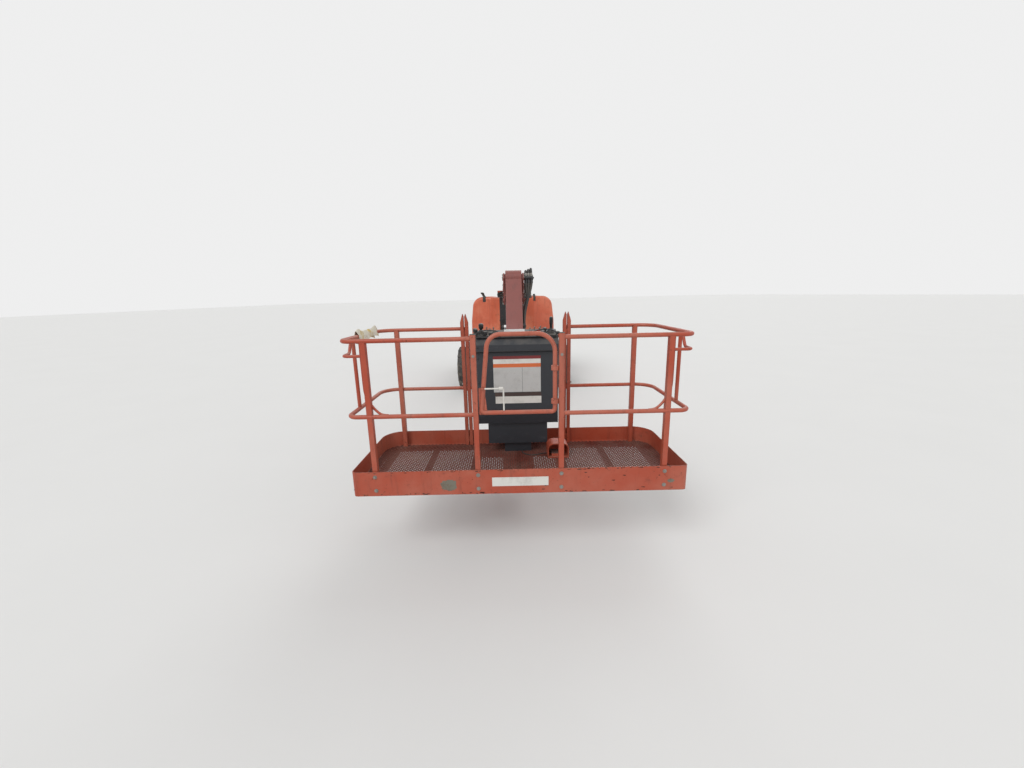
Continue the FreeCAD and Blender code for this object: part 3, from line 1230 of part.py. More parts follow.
def panel_plate(name, x0, x1, y0, y1, thick):
    """A plate that lies on the sloping panel."""
    body = new_body(name)
    front = S.console_front
    pad(body, "YZ", x0, x1, ((front + y0, panel_line(y0)), (front + y1, panel_line(y1)),
                             (front + y1, panel_line(y1) + thick), (front + y0, panel_line(y0) + thick)))
    return body


# The foot switch: a treadle under an arched guard, and its lead on the deck.
def make_foot_switch():
    x0, x1 = 254, 436
    y0, y1 = float(S.console_front) - 88, float(S.console_front) + 50
    floor = float(S.floor_z)
    outline = bent_path([((x0 + x1) / 2, y0, floor), (x0, y0, floor), (x0, y0, floor + 130), (x1, y0, floor + 130),
                         (x1, y0, floor), ((x0 + x1) / 2, y0, floor)], [1, 50, 50, 1])
    shell = Part.Face(outline).extrude(FreeCAD.Vector(0, y1 - y0, 0))
    hollow = bent_path([((x0 + x1) / 2, y0 - 5, floor + 8), (x0 + 8, y0 - 5, floor + 8), (x0 + 8, y0 - 5, floor + 122),
                        (x1 - 8, y0 - 5, floor + 122), (x1 - 8, y0 - 5, floor + 8),
                        ((x0 + x1) / 2, y0 - 5, floor + 8)], [1, 44, 44, 1])
    mouth = Part.Face(hollow).extrude(FreeCAD.Vector(0, y1 - y0 - 3, 0))
    treadle = Part.makeBox(110, 104, 24, FreeCAD.Vector((x0 + x1) / 2 - 55, y0 + 20, floor + 8))
    node(feature(shell.cut(mouth).fuse(treadle)), "foot_switch")

    z = floor + float(S.cord_radius) + 0.3
    route = [(x0 - 0.3 - dx, y0 + dy, z) for dx, dy in CORD_ROUTE]
    cord = tube_shape(route, S.cord_radius, cord_bends(route))
    radii = cord_bends(route)
    print("foot switch lead", round(tube_length(route, radii)), "mm, smallest bend", round(min(radii)))
    node(feature(cord), "foot_switch_lead")


# the lead's route: mm from the guard's side, mm from its front
CORD_ROUTE = ((0, 103), (34, 101), (66, 85), (96, 69), (128, 63), (160, 71), (190, 89), (212, 117), (220, 149),
              (218, 179.4))


def cord_bends(route):
    spots = [FreeCAD.Vector(*point) for point in route]
    radii = []
    for before, corner, after in zip(spots, spots[1:], spots[2:]):
        into, out = corner - before, after - corner
        half = into.getAngle(out) / 2
        radii.append(0.45 * min(into.Length, out.Length) / math.tan(half))
    return radii


def tube_length(route, radii):
    return bent_path(route, radii).Length


# The jib's hoses: a bundle that arches over the nose to a swivel on the jib's pin, and its runs down the jib.
def make_hoses():
    r = float(S.hose_radius)
    y, z = float(S.jib_pin_y), float(S.jib_pin_z)
    hub = 30
    loops = []
    # x of a hose, height of its arch over the pin
    for x, arch in HOSES:
        reach = (hub + 0.3) / math.sqrt(2)
        route = ((x, y + 395, z - 190), (x, y + 330, z - 40), (x, y + 240, z + arch), (x, y + arch, z + arch),
                 (x, y + reach, z + reach))
        loops.append(tube_shape(route, r, cord_bends(route)))
    side = float(S.nose_plate_x + S.nose_plate)
    clamp = Part.makeBox(HOSES[-1][0] + r + 8 - side, 30, 88, FreeCAD.Vector(side, y + 352, z - 138))
    strap = Part.makeBox(8, 300, 24, FreeCAD.Vector(side, y + 82, z - 80))
    node(feature(loops[0].multiFuse(loops[1:] + [clamp, strap])), "nose_hoses")

    runs = []
    half = float(S.jib_width) / 2
    for index, depth in enumerate((-34, 0, 34)):
        x = half + r + 2
        top_x = HOSES[index][0]
        route = ((top_x, 0, 0), (top_x - 4, -110, 0), (x + 30 + 6 * index, -330, depth * 0.6), (x, -560, depth),
                 (x, -1560, depth))
        runs.append(tube_shape(route, r, cord_bends(route)))
    clamps = [Part.makeBox(2 * r + 6, 30, 110, FreeCAD.Vector(half, y0, -55)) for y0 in (-640, -1080, -1540)]
    swivel = Part.makeCylinder(hub, HOSES[-1][0] + r + 6 - side - 11, FreeCAD.Vector(side + 11, 0, 0),
                               FreeCAD.Vector(1, 0, 0))
    thing = feature(runs[0].multiFuse(runs[1:] + clamps + [swivel]))
    node(thing, "jib_hoses", 0, y, z, S.jib_slope)


# x of a hose, height of its arch over the jib's pin
HOSES = ((152, 84), (184, 96), (216, 108))


MAKERS = (
    make_chassis, make_axles, make_knuckles, make_tie_rod, make_wheels, make_bearing, make_turntable,
    make_counterweight, make_slot_walls, make_hoods, make_catches, make_under_hood, make_tower, make_upright,
    make_main_boom, make_power_track, make_cylinders, make_nose, make_jib, make_rotator, make_platform,
    make_rails, make_gate, make_console, make_foot_switch, make_hoses,
)


def main():
    for maker in MAKERS:
        maker()
    doc.recompute()
    bad = [o.Name for o in doc.Objects if {"Invalid", "Error"} & set(o.State)]
    if bad:
        raise SystemExit("failed objects: %s" % bad)
    for thing in NODES:
        if thing.Shape.isNull() or not thing.Shape.isValid():
            raise SystemExit("bad shape: %s" % thing.Label)
    os.makedirs("parts", exist_ok=True)
    for old in os.listdir("parts"):
        if re.fullmatch(r"[a-z0-9_]+\.step", old):
            os.remove(os.path.join("parts", old))
    for thing in NODES:
        thing.Shape.exportStep("parts/%s.step" % thing.Label)
        print(thing.Label, len(thing.Shape.Solids), "solids", round(thing.Shape.Volume / 1e6, 2), "litres")


main()
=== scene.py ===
# %% [markdown]
# # An articulating boom lift, parked with its booms stowed
#
# The CAD model gives every frame, boom, wheel and pivot its place and size. This lesson dresses it:
# weathered paint, dusty tyres, an expanded-metal deck, hoses, and the small parts a machine like this
# is bolted together from. Lengths are metres, +Z is up, and the platform is at the -Y end.

import json
import math
import random

import bmesh
import bpy
from mathutils import Matrix, Vector

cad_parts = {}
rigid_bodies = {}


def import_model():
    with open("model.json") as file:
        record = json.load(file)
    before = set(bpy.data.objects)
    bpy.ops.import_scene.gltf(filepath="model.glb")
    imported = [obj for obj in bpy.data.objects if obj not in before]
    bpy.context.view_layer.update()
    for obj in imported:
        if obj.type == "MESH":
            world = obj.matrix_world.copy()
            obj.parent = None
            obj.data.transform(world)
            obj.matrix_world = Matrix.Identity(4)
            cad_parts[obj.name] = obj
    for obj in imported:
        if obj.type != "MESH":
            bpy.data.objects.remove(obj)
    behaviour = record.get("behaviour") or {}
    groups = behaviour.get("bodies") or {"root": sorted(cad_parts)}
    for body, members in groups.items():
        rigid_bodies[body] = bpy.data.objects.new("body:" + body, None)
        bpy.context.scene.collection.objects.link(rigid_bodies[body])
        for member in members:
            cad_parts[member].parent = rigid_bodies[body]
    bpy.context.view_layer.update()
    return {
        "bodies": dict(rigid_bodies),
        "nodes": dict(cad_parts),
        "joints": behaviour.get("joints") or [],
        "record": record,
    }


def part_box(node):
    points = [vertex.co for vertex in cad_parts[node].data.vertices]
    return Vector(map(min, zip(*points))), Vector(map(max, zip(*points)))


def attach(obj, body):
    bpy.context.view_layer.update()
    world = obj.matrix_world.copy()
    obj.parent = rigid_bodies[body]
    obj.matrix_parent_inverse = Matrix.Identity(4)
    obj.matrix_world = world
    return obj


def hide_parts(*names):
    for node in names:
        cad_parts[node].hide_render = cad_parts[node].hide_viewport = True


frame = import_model()
nodes = frame["nodes"]

# %% [markdown]
# ## The camera
#
# The photograph was taken from just outside the gate, at eye height, with a very wide lens. Its place
# and tilt were solved from the rails, the posts and the toe board, whose sizes are known, so the camera
# can be set from numbers and not by eye.

# %% Place the camera
CAMERA_PLACE = (-0.0403, -9.9821, 2.014)
CAMERA_TURN, CAMERA_TILT, CAMERA_ROLL = 0.05, 77.336, -1.281
PHOTO_WIDTH, FOCAL_PIXELS = 1024, 399.4

lens = bpy.data.cameras.new("photo_camera")
lens.sensor_width = 36
lens.lens = FOCAL_PIXELS * lens.sensor_width / PHOTO_WIDTH
lens.clip_end = 400
camera = bpy.data.objects.new("photo_camera", lens)
bpy.context.scene.collection.objects.link(camera)
camera.matrix_world = (Matrix.Translation(CAMERA_PLACE) @ Matrix.Rotation(math.radians(CAMERA_TURN), 4,
    "Z") @ Matrix.Rotation(math.radians(CAMERA_TILT), 4, "X") @ Matrix.Rotation(math.radians(CAMERA_ROLL), 4,
    "Z"))
bpy.context.scene.camera = camera
print("lens", round(lens.lens, 2), "mm")

# %% [markdown]
# ## The foot switch's lead
#
# The operator stands on a foot switch, and its rubber lead lies on the deck in a loose bend from the
# switch's guard to the console's foot. A NURBS curve is the natural tool: the route's points pull the
# line towards them without corners, as a stiff lead lies.

# %% Lay the lead
LEAD_DIAMETER = 0.009
LEAD_START = (0.2537, -6.677)
LEAD_HEIGHT = 0.6248
# millimetres across and back from the start
LEAD_ROUTE = ((0, 40), (34, 38), (66, 22), (96, 6), (128, 0), (160, 8), (190, 26), (212, 54), (220, 86),
    (218, 116.4))


def round_line(name, routes, radius, sides=3, steps=6):
    """Round hoses or rods as one curve: each route's points pull a smooth NURBS line towards them."""
    line = bpy.data.curves.new(name, "CURVE")
    line.dimensions = "3D"
    # the points' own radius carries the thickness, which keeps Blender's box of the curve tight
    line.bevel_depth, line.bevel_resolution, line.resolution_u = 1.0, sides, steps
    for route in routes:
        run = line.splines.new("NURBS")
        run.points.add(len(route) - 1)
        for point, place in zip(run.points, route):
            point.co, point.radius = (*place, 1), radius
        run.order_u, run.use_endpoint_u = 3, True
    return bpy.data.objects.new(name, line)


route = [(LEAD_START[0] - across / 1000, LEAD_START[1] + back / 1000, LEAD_HEIGHT)
    for across, back in LEAD_ROUTE]
lead = round_line("switch_lead", [route], LEAD_DIAMETER / 2, 4, 8)
bpy.context.scene.collection.objects.link(lead)
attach(lead, "platform")
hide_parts("foot_switch_lead")
print("lead of", len(LEAD_ROUTE), "points")

# %% [markdown]
# ## Writing shader maths as Python
#
# A finish is layers of simple masks. `Wire` stands for a socket's value, so that `1 - dust * streaks`
# adds the Math nodes by itself, and every other node comes from the one method `Finish.node`.


# %% The two shader helpers
class Wire:
    """A socket's value, for use in Python expressions."""

    def __init__(self, finish, socket):
        self.finish = finish
        self.socket = socket

    def maths(self, operation, left, right):
        return self.finish.node("Math", {"operation": operation}, {0: left, 1: right})

    def __add__(self, other):
        return self.maths("ADD", self, other)

    def __radd__(self, other):
        return self.maths("ADD", other, self)

    def __sub__(self, other):
        return self.maths("SUBTRACT", self, other)

    def __rsub__(self, other):
        return self.maths("SUBTRACT", other, self)

    def __mul__(self, other):
        return self.maths("MULTIPLY", self, other)

    def __rmul__(self, other):
        return self.maths("MULTIPLY", other, self)

    def highest(self, other):
        return self.maths("MAXIMUM", self, other)

    def between(self, low, high):
        """0 below low, 1 above high, smooth in between."""
        settings = {"interpolation_type": "SMOOTHSTEP", "clamp": True}
        return self.finish.node("MapRange", settings, {"Value": self, "From Min": low, "From Max": high})


class Finish:
    """A material: its constants go on the shader, and its patterns are nodes."""

    def __init__(self, name, **constants):
        self.material = bpy.data.materials.new(name)
        self.material.use_nodes = True
        self.tree = self.material.node_tree
        self.shader = self.tree.nodes["Principled BSDF"]
        for socket, number in constants.items():
            self.shader.inputs[socket.replace("_", " ")].default_value = number

    def node(self, kind, settings=None, sockets=None, out=0):
        made = self.tree.nodes.new("ShaderNode" + kind)
        for key, value in (settings or {}).items():
            setattr(made, key, value)
        for key, value in (sockets or {}).items():
            if isinstance(value, Wire):
                self.tree.links.new(value.socket, made.inputs[key])
            else:
                made.inputs[key].default_value = value
        return Wire(self, made.outputs[out])

    def feed(self, **values):
        """Joins values to the shader: feed(Base_Color=..., Roughness=...)."""
        for socket, wire in values.items():
            self.tree.links.new(wire.socket, self.shader.inputs[socket.replace("_", " ")])
        return self.material

    def place(self):
        """The point on the object in its own frame, in metres."""
        return self.node("TexCoord", out=3)

    def noise(self, scale, detail=4.0, rough=0.6, stretch=(1, 1, 1)):
        where = self.place()
        if stretch != (1, 1, 1):
            where = self.node("Mapping", None, {"Vector": where, "Scale": stretch})
        return self.node("TexNoise", None, {"Vector": where, "Scale": scale, "Detail": detail,
            "Roughness": rough})

    def mixed(self, first, second, share):
        """From the first colour to the second by a share; a colour is a value or a chart's three numbers."""
        first, second = (colour(*c) if isinstance(c, tuple) and len(c) == 3 else c for c in (first, second))
        return self.node("Mix", {"data_type": "RGBA"}, {"Factor": share, 6: first, 7: second}, out=2)

    def facing_up(self):
        """How much the surface looks up, from -1 to 1."""
        normal = self.node("TexCoord", out=1)
        return self.node("SeparateXYZ", None, {0: normal}, out=2)

    def worn_edges(self, width):
        """Near 1 on sharp edges: there the rounded normal departs from the true one."""
        soft = self.node("Bevel", {"samples": 4}, {"Radius": width})
        true = self.node("NewGeometry", out=1)
        likeness = self.node("VectorMath", {"operation": "DOT_PRODUCT"}, {0: soft, 1: true}, out=1)
        return 1 - likeness

    def bump(self, height, depth, strength=1.0):
        return self.node("Bump", None, {"Height": height, "Distance": depth, "Strength": strength})


def colour(red, green, blue):
    """A colour written as a painter's chart gives it (0-255), turned to the linear values of the shader."""
    linear = [((c / 255 + 0.055) / 1.055) ** 2.4 if c > 10 else c / 255 / 12.92 for c in (red, green, blue)]
    return (*linear, 1.0)


print("shader helpers ready")

# %% [markdown]
# ## Weathered orange paint
#
# The booms, rails and platform are the same orange, gone chalky where the sun stands on it and grimy
# where hands and boots rub. Three masks carry it: a slow noise for the fading, long streaks for the
# run-off, and chips that sit mostly on edges and show brown rust. The jib's copy of the orange is
# tinted purple-grey: painted shade, as a face in shadow looks under a blue sky.


# %% The orange paint
PALE_DUST, RUSTS = (168, 156, 142), ((92, 52, 34), (60, 40, 32))


def weathered_paint(name, fresh, faded, grime, chips=0.6, gloss=0.42, width=0.004, dusty=0.42):
    paint = Finish(name, Specular_IOR_Level=0.45, Coat_Roughness=0.35)
    fade = paint.noise(1.3, 5).between(0.38, 0.68)
    streaks = paint.noise(6.0, 6, 0.65, (3.0, 3.0, 0.35)).between(0.52, 0.78)
    smudges = paint.noise(11.0, 7, 0.7).between(0.56, 0.76)
    specks = paint.noise(55.0, 6, 0.72).between(0.62, 0.65) * paint.noise(4.0, 3).between(0.4, 0.56)
    edges = paint.worn_edges(width).between(0.015, 0.16)
    bare = (edges * paint.noise(24.0, 6, 0.72).between(0.42, 0.54)).highest(specks) * chips
    dust = paint.facing_up().between(0.5, 1.0) * paint.noise(5.0, 6).between(0.35, 0.7)
    skin = paint.mixed(fresh, faded, fade)
    skin = paint.mixed(skin, grime, (streaks * 0.42).highest(smudges * 0.5))
    skin = paint.mixed(skin, PALE_DUST, dust * dusty)
    rust = paint.mixed(*RUSTS, paint.noise(40.0, 4))
    skin = paint.mixed(skin, rust, bare)
    peel = paint.noise(260.0, 2) * 0.35 - bare * 0.9
    return paint.feed(
        Base_Color=skin,
        Roughness=gloss + smudges * 0.15 + dust * 0.25 + bare * 0.3,
        Normal=paint.bump(peel, 0.0006, 0.6),
    )


ORANGE, ORANGE_FADED, ORANGE_GRIME = (176, 74, 46), (184, 100, 78), (92, 54, 44)
boom_orange = weathered_paint("boom_orange", ORANGE, ORANGE_FADED, ORANGE_GRIME)
rail_orange = weathered_paint("rail_orange", (168, 70, 46), (176, 98, 78), ORANGE_GRIME, 0.95, width=0.006)
deck_brown = weathered_paint("deck_brown", (92, 38, 28), (104, 54, 42), (54, 36, 32), 1.0, 0.6, 0.002, 0.16)
# the jib's paint is the same orange tinted purple-grey: painted shade, the look of a shaded face lit by a
# blue sky
jib_orange = weathered_paint("jib_orange", (134, 76, 70), (146, 96, 92), (84, 60, 58))
hood_orange = weathered_paint("hood_orange", (196, 92, 62), (212, 124, 94), ORANGE_GRIME, 0.15, 0.36)
frame_grey = weathered_paint("frame_grey", (62, 64, 68), (84, 85, 87), (46, 42, 38), 0.7)
ballast_grey = weathered_paint("ballast_grey", (58, 60, 64), (80, 82, 85), (44, 40, 36), 0.5)
rim_white = weathered_paint("rim_white", (206, 200, 190), (188, 180, 168), (116, 98, 80), 0.6)
cylinder_black = weathered_paint("cylinder_black", (40, 41, 43), (60, 61, 62), (52, 46, 40), 0.5)
tank_grey = weathered_paint("tank_grey", (72, 74, 76), (92, 92, 92), (50, 46, 42), 0.4)
print("paints mixed")

# %% [markdown]
# ## Rubber, plastic, iron and chrome
#
# Plain finishes still need what the eye expects of them: tyres carry patches of pale dust, moulded
# plastic has a fine grain and scuffs, cast iron is pitted, and a cylinder's rod is bright with faint
# rings and an oily film.


# %% The plainer finishes
def dusty_rubber(name, tone, dust_tone, amount):
    rubber = Finish(name, Specular_IOR_Level=0.35)
    dust = rubber.noise(7.0, 7, 0.7).between(0.4, 0.66) * amount
    grain = rubber.noise(140.0, 4)
    skin = rubber.mixed(rubber.mixed(tone, (70, 68, 66), grain), dust_tone, dust)
    return rubber.feed(Base_Color=skin, Roughness=0.62 + dust * 0.3,
        Normal=rubber.bump(grain + rubber.noise(24.0, 4), 0.0012, 0.5))


def moulded_plastic(name, tone, worn, gloss=0.45):
    plastic = Finish(name, Specular_IOR_Level=0.45)
    grain = plastic.noise(420.0, 2)
    scuffs = plastic.noise(16.0, 8, 0.75, (1.0, 1.0, 2.2)).between(0.55, 0.72)
    edges = plastic.worn_edges(0.004).between(0.03, 0.25)
    dust = plastic.facing_up().between(0.4, 1.0) * plastic.noise(9.0, 6).between(0.3, 0.7)
    skin = plastic.mixed(tone, worn, (scuffs * 0.35).highest(edges * 0.45))
    skin = plastic.mixed(skin, (158, 148, 136), dust * 0.35)
    return plastic.feed(Base_Color=skin, Roughness=gloss + scuffs * 0.2 + dust * 0.25,
        Normal=plastic.bump(grain, 0.0004, 0.5))


def rough_iron(name, tone, rust_share=0.5):
    iron = Finish(name, Specular_IOR_Level=0.4, Metallic=0.35)
    pits = iron.noise(90.0, 6, 0.7)
    patches = iron.noise(8.0, 7, 0.7).between(0.48, 0.7)
    mud = iron.noise(4.0, 6, 0.65).between(0.5, 0.72)
    skin = iron.mixed(iron.mixed(tone, (96, 58, 38), patches * rust_share), (126, 110, 92), mud * 0.55)
    return iron.feed(Base_Color=skin, Roughness=0.55 + mud * 0.3, Normal=iron.bump(pits + mud, 0.0015, 0.6))


def polished_rod(name):
    rod = Finish(name, Specular_IOR_Level=0.6, Metallic=1.0)
    rings = rod.noise(30.0, 3, 0.5, (0.2, 9.0, 0.2))
    film = rod.noise(10.0, 5).between(0.5, 0.75)
    skin = rod.mixed((206, 208, 210), (150, 144, 134), film * 0.5)
    return rod.feed(Base_Color=skin, Roughness=0.12 + film * 0.25, Normal=rod.bump(rings, 0.0003, 0.3))


tyre_rubber = dusty_rubber("tyre_rubber", (38, 38, 39), (128, 120, 108), 0.6)
hose_rubber = dusty_rubber("hose_rubber", (28, 28, 29), (96, 90, 82), 0.35)
console_plastic = moulded_plastic("console_plastic", (46, 49, 54), (86, 88, 92))
dark_plastic = moulded_plastic("dark_plastic", (34, 35, 37), (78, 78, 78))
axle_iron = rough_iron("axle_iron", (52, 52, 54))
engine_iron = rough_iron("engine_iron", (78, 80, 82), 0.3)
bright_steel = polished_rod("bright_steel")


def blank_plate(name, tone, worn, gloss=0.38):
    """A vinyl plate: scratched through in places, and stained."""
    vinyl = Finish(name, Specular_IOR_Level=0.5)
    scratches = vinyl.noise(30.0, 8, 0.8, (0.4, 1.0, 3.0)).between(0.6, 0.7)
    stains = vinyl.noise(9.0, 6, 0.7).between(0.45, 0.72)
    skin = vinyl.mixed(vinyl.mixed(tone, worn, stains * 0.55), (92, 84, 76), scratches * 0.5)
    return vinyl.feed(Base_Color=skin, Roughness=gloss + stains * 0.25,
        Normal=vinyl.bump(vinyl.noise(40.0, 3), 0.0004, 0.4))


pale_plate = blank_plate("pale_plate", (214, 212, 206), (168, 164, 156))
grey_plate = blank_plate("grey_plate", (186, 186, 184), (150, 148, 144))
dull_red = blank_plate("dull_red_plate", (120, 38, 40), (96, 48, 44))
plate_orange = blank_plate("orange_plate", (206, 104, 56), (170, 96, 64))
plate_brown = blank_plate("brown_plate", (62, 46, 42), (84, 66, 58))
glossy_black = moulded_plastic("glossy_black", (24, 25, 27), (70, 70, 72), 0.28)
faded_red = moulded_plastic("faded_red", (150, 36, 30), (176, 92, 80), 0.35)
bright_zinc = rough_iron("bright_zinc", (146, 144, 138), 0.45)
scraped_steel = rough_iron("scraped_steel", (122, 118, 106), 0.8)
chipped_rust = rough_iron("chipped_rust", (66, 46, 38), 1.0)


def stained_cloth(name):
    cloth = Finish(name, Specular_IOR_Level=0.1, Roughness=0.95)
    yellow = cloth.noise(7.0, 5).between(0.5, 0.6)
    dirt = cloth.noise(22.0, 7, 0.75).between(0.52, 0.7)
    skin = cloth.mixed(cloth.mixed((226, 222, 206), (206, 178, 92), yellow * 0.8), (150, 84, 62), dirt * 0.6)
    return cloth.feed(Base_Color=skin, Normal=cloth.bump(cloth.noise(300.0, 2), 0.0006, 0.6))


old_cloth = stained_cloth("old_cloth")
print("plain finishes ready")

# %% [markdown]
# ## Finishes for the CAD nodes
#
# A CAD node whose shape is right keeps it and only gets a better finish. The record names a slot for
# each node, so one table from slot to finish dresses the whole frame at once.

# %% Dress the frame
SLOT_FINISH = {
    "orange_paint": boom_orange,
    "frame_paint": frame_grey,
    "rim_paint": rim_white,
    "tyre_rubber": tyre_rubber,
    "axle_iron": axle_iron,
    "ballast_paint": ballast_grey,
    "hood_shell": hood_orange,
    "black_rubber": hose_rubber,
    "black_plastic": dark_plastic,
    "engine_iron": engine_iron,
    "tank_steel": tank_grey,
    "chrome_rod": bright_steel,
    "cylinder_paint": cylinder_black,
    "floor_mesh": rail_orange,
    "rail_paint": rail_orange,
    "console_shell": console_plastic,
}
# the jib and its nose bracket take the orange with painted shade, tinted purple-grey
OWN_FINISH = {"jib": jib_orange, "nose_bracket": jib_orange}
for row in frame["record"]["subparts"]:
    mesh = nodes[row["node"]].data
    mesh.materials.clear()
    mesh.materials.append(OWN_FINISH.get(row["node"], SLOT_FINISH[row["material_slot"]]))
lead.data.materials.append(hose_rubber)
print(len(SLOT_FINISH), "slots dressed")

# %% [markdown]
# ## Drawing solid fittings
#
# Most fittings of a machine are plates, rods and turned parts. `Shape` gathers any number of them in one
# mesh: a ring of points is skinned to the next ring, so a plate is two rings and a turned part is many.
# A bevel modifier then breaks the hard edges, because no real edge is perfectly sharp.


# %% The shape helper
class Shape:
    """Plates, rods and turned parts in one mesh, drawn in the frame of the piece that they sit on."""

    def __init__(self, frame=Matrix()):
        self.mesh = bmesh.new()
        self.frame = frame

    def skin(self, rings, caps=True, closed=True):
        rows = [[self.mesh.verts.new(self.frame @ Vector(point)) for point in ring] for ring in rings]
        for first, second in zip(rows, rows[1:]):
            for i in range(len(first) if closed else len(first) - 1):
                j = (i + 1) % len(first)
                self.mesh.faces.new((first[i], first[j], second[j], second[i]))
        if caps:
            self.mesh.faces.new(rows[0][::-1])
            self.mesh.faces.new(rows[-1])

    def plate(self, axis, low, high, outline):
        """An outline across an axis, as thick as low to high; its pairs are the other two coordinates."""
        self.skin([[spot_on(axis, level, u, v) for u, v in outline] for level in (low, high)])

    def box(self, xs, ys, zs):
        self.plate("z", *zs, ((xs[0], ys[0]), (xs[1], ys[0]), (xs[1], ys[1]), (xs[0], ys[1])))

    def turned(self, axis, profile, centre, steps=24, caps=True):
        """profile: pairs of the place along the axis and the radius there."""
        self.skin([[spot_on(axis, along, u, v) for u, v in circle(steps, radius, centre)]
            for along, radius in profile], caps)

    def raised(self, axis, face, out, profile, centre, steps=24):
        """A turned part on a face that looks along out, 1 or -1; profile: heights over the face and radii."""
        self.turned(axis, [(face + out * height, radius) for height, radius in profile], centre, steps)

    def bolt(self, axis, face, out, centre, radius=0.009):
        """A washer and a six-sided head that stand out of a face, out being 1 or -1."""
        thick, tall = radius * 0.28, radius * 1.2
        self.raised(axis, face, out, ((-thick, radius * 1.55), (thick, radius * 1.5)), centre, 14)
        self.raised(axis, face, out, ((thick / 2, radius), (tall * 0.85, radius), (tall, radius * 0.8)),
            centre, 6)

    def bake(self, name):
        """The drawing as a mesh, with its faces turned outwards."""
        bmesh.ops.recalc_face_normals(self.mesh, faces=self.mesh.faces)
        data = bpy.data.meshes.new(name)
        self.mesh.to_mesh(data)
        self.mesh.free()
        return data

    def settle(self, name, body, finish, bevel=0.0015, replaces=(), slot=None):
        """The drawing as a piece on its body, with its edges broken by a small bevel."""
        piece = bpy.data.objects.new(name, self.bake(name))
        if bevel:
            edges = piece.modifiers.new("broken_edges", "BEVEL")
            edges.width, edges.segments, edges.limit_method = bevel, 2, "ANGLE"
            edges.angle_limit = math.radians(40)
        return stand(piece, body, finish, replaces)


def circle(count, radius, centre=(0, 0), start=0.0):
    """Points evenly round a centre, the first one turned by start, a share of a step."""
    turns = [math.tau * (i + start) / count for i in range(count)]
    return [(centre[0] + radius * math.cos(t), centre[1] + radius * math.sin(t)) for t in turns]


def spot_on(axis, along, u, v):
    """A point from its place along an axis and its other two coordinates."""
    spot = [u, v]
    spot.insert("xyz".index(axis), along)
    return spot


def smooth(mesh, degrees):
    """Smooth shading, with edges kept sharp where they turn by more than so many degrees."""
    mesh.shade_smooth()
    mesh.set_sharp_from_angle(angle=math.radians(degrees))


def stand(piece, body, finish, replaces=()):
    """Puts a finished piece on its body of the frame."""
    if piece.type == "MESH":
        smooth(piece.data, 34)
    piece.data.materials.append(finish)
    bpy.context.scene.collection.objects.link(piece)
    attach(piece, body)
    for node in replaces:
        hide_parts(node)
    return piece


def hoses(name, body, routes, radius, finish, replaces=()):
    """Several hoses as one piece, with closed ends."""
    piece = round_line(name, routes, radius)
    piece.data.use_fill_caps = True
    return stand(piece, body, finish, replaces)


BOTH = (-1, 1)  # left and right, or front and back


def tally(title, *pieces):
    print(title, "-", ", ".join(piece.name for piece in pieces))


# %% [markdown]
# ## The deck of expanded metal
#
# Expanded metal is a sheet slit and pulled open, so its strands are zigzag ribbons that touch at their
# corners. Row after row of one ribbon, each shifted by half a cell, gives the true pattern with light
# coming through it, which no bump map can do. The cross bars under it show through the openings.

# %% Weave the deck
(_, NEAR, toe_low), (HALF, FAR, toe_high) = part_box("toe_board")
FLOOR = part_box("platform_deck")[1][2]
CELL_LONG, CELL_SHORT = 0.036, 0.015
STRAND_WIDE, STRAND_THICK = 0.0122, 0.0046
CORNER, EDGE = 0.172, 0.006  # the deck's far corners, and the gap round it
BARS_UNDER, BAR_DEEP = 7, 0.05
STRAND_FOOT = FLOOR - 0.0055


def deck_reach(y):
    """Half the deck's width at a place along it: its far corners are round."""
    into = y - (FAR - EDGE - CORNER)
    return HALF - EDGE - (CORNER - math.sqrt(max(0.0, CORNER**2 - into**2)) if into > 0 else 0)


deck = Shape()
rows = int((FAR - NEAR - 0.016) / CELL_SHORT)
for row in range(rows):
    low = NEAR + 0.008 + row * CELL_SHORT
    reach = min(deck_reach(low), deck_reach(low + CELL_SHORT)) - 0.002
    count = int(2 * reach / (CELL_LONG / 2))
    rings = []
    for i in range(count + 1):
        x = -reach + i * 2 * reach / count
        up = (i + row) % 2
        y, z = low + up * CELL_SHORT, STRAND_FOOT + up * 0.0016
        near, far = y - STRAND_WIDE / 2, y + STRAND_WIDE / 2
        rings.append([(x, near, z), (x, far, z + 0.0008), (x, far, z + STRAND_THICK),
            (x, near, z + STRAND_THICK - 0.0006)])
    deck.skin(rings)
ys = (NEAR + 0.045, FAR - 0.075)
for i in range(BARS_UNDER):
    x = (2 * i / (BARS_UNDER - 1) - 1) * (HALF - 0.11)
    for web in (-0.018, 0.015):
        deck.box((x + web, x + web + 0.003), ys, (FLOOR - BAR_DEEP, STRAND_FOOT))
    deck.box((x - 0.018, x + 0.018), ys, (STRAND_FOOT - 0.003, STRAND_FOOT))
deck_piece = deck.settle("expanded_metal_deck", "platform", deck_brown, 0, ["platform_deck"],
    slot="floor_mesh")
print(rows, "rows of strands,", len(deck_piece.data.polygons), "faces")

# %% [markdown]
# ## Rough-terrain tyres
#
# A lift's tyre is a drum of rubber with tall slanted bars, staggered from side to side. One mesh is made
# with care - a turned carcass with its bead, bulge and shoulder, then bars that taper as they rise - and
# the four wheels share it, turned so that the bars point the same way on both sides.

# %% Make the tyre
TYRE_RADIUS, TREAD_RADIUS, BEAD_RADIUS, TYRE_HALF = 0.4565, 0.427, 0.2562, 0.178
BARS = 14

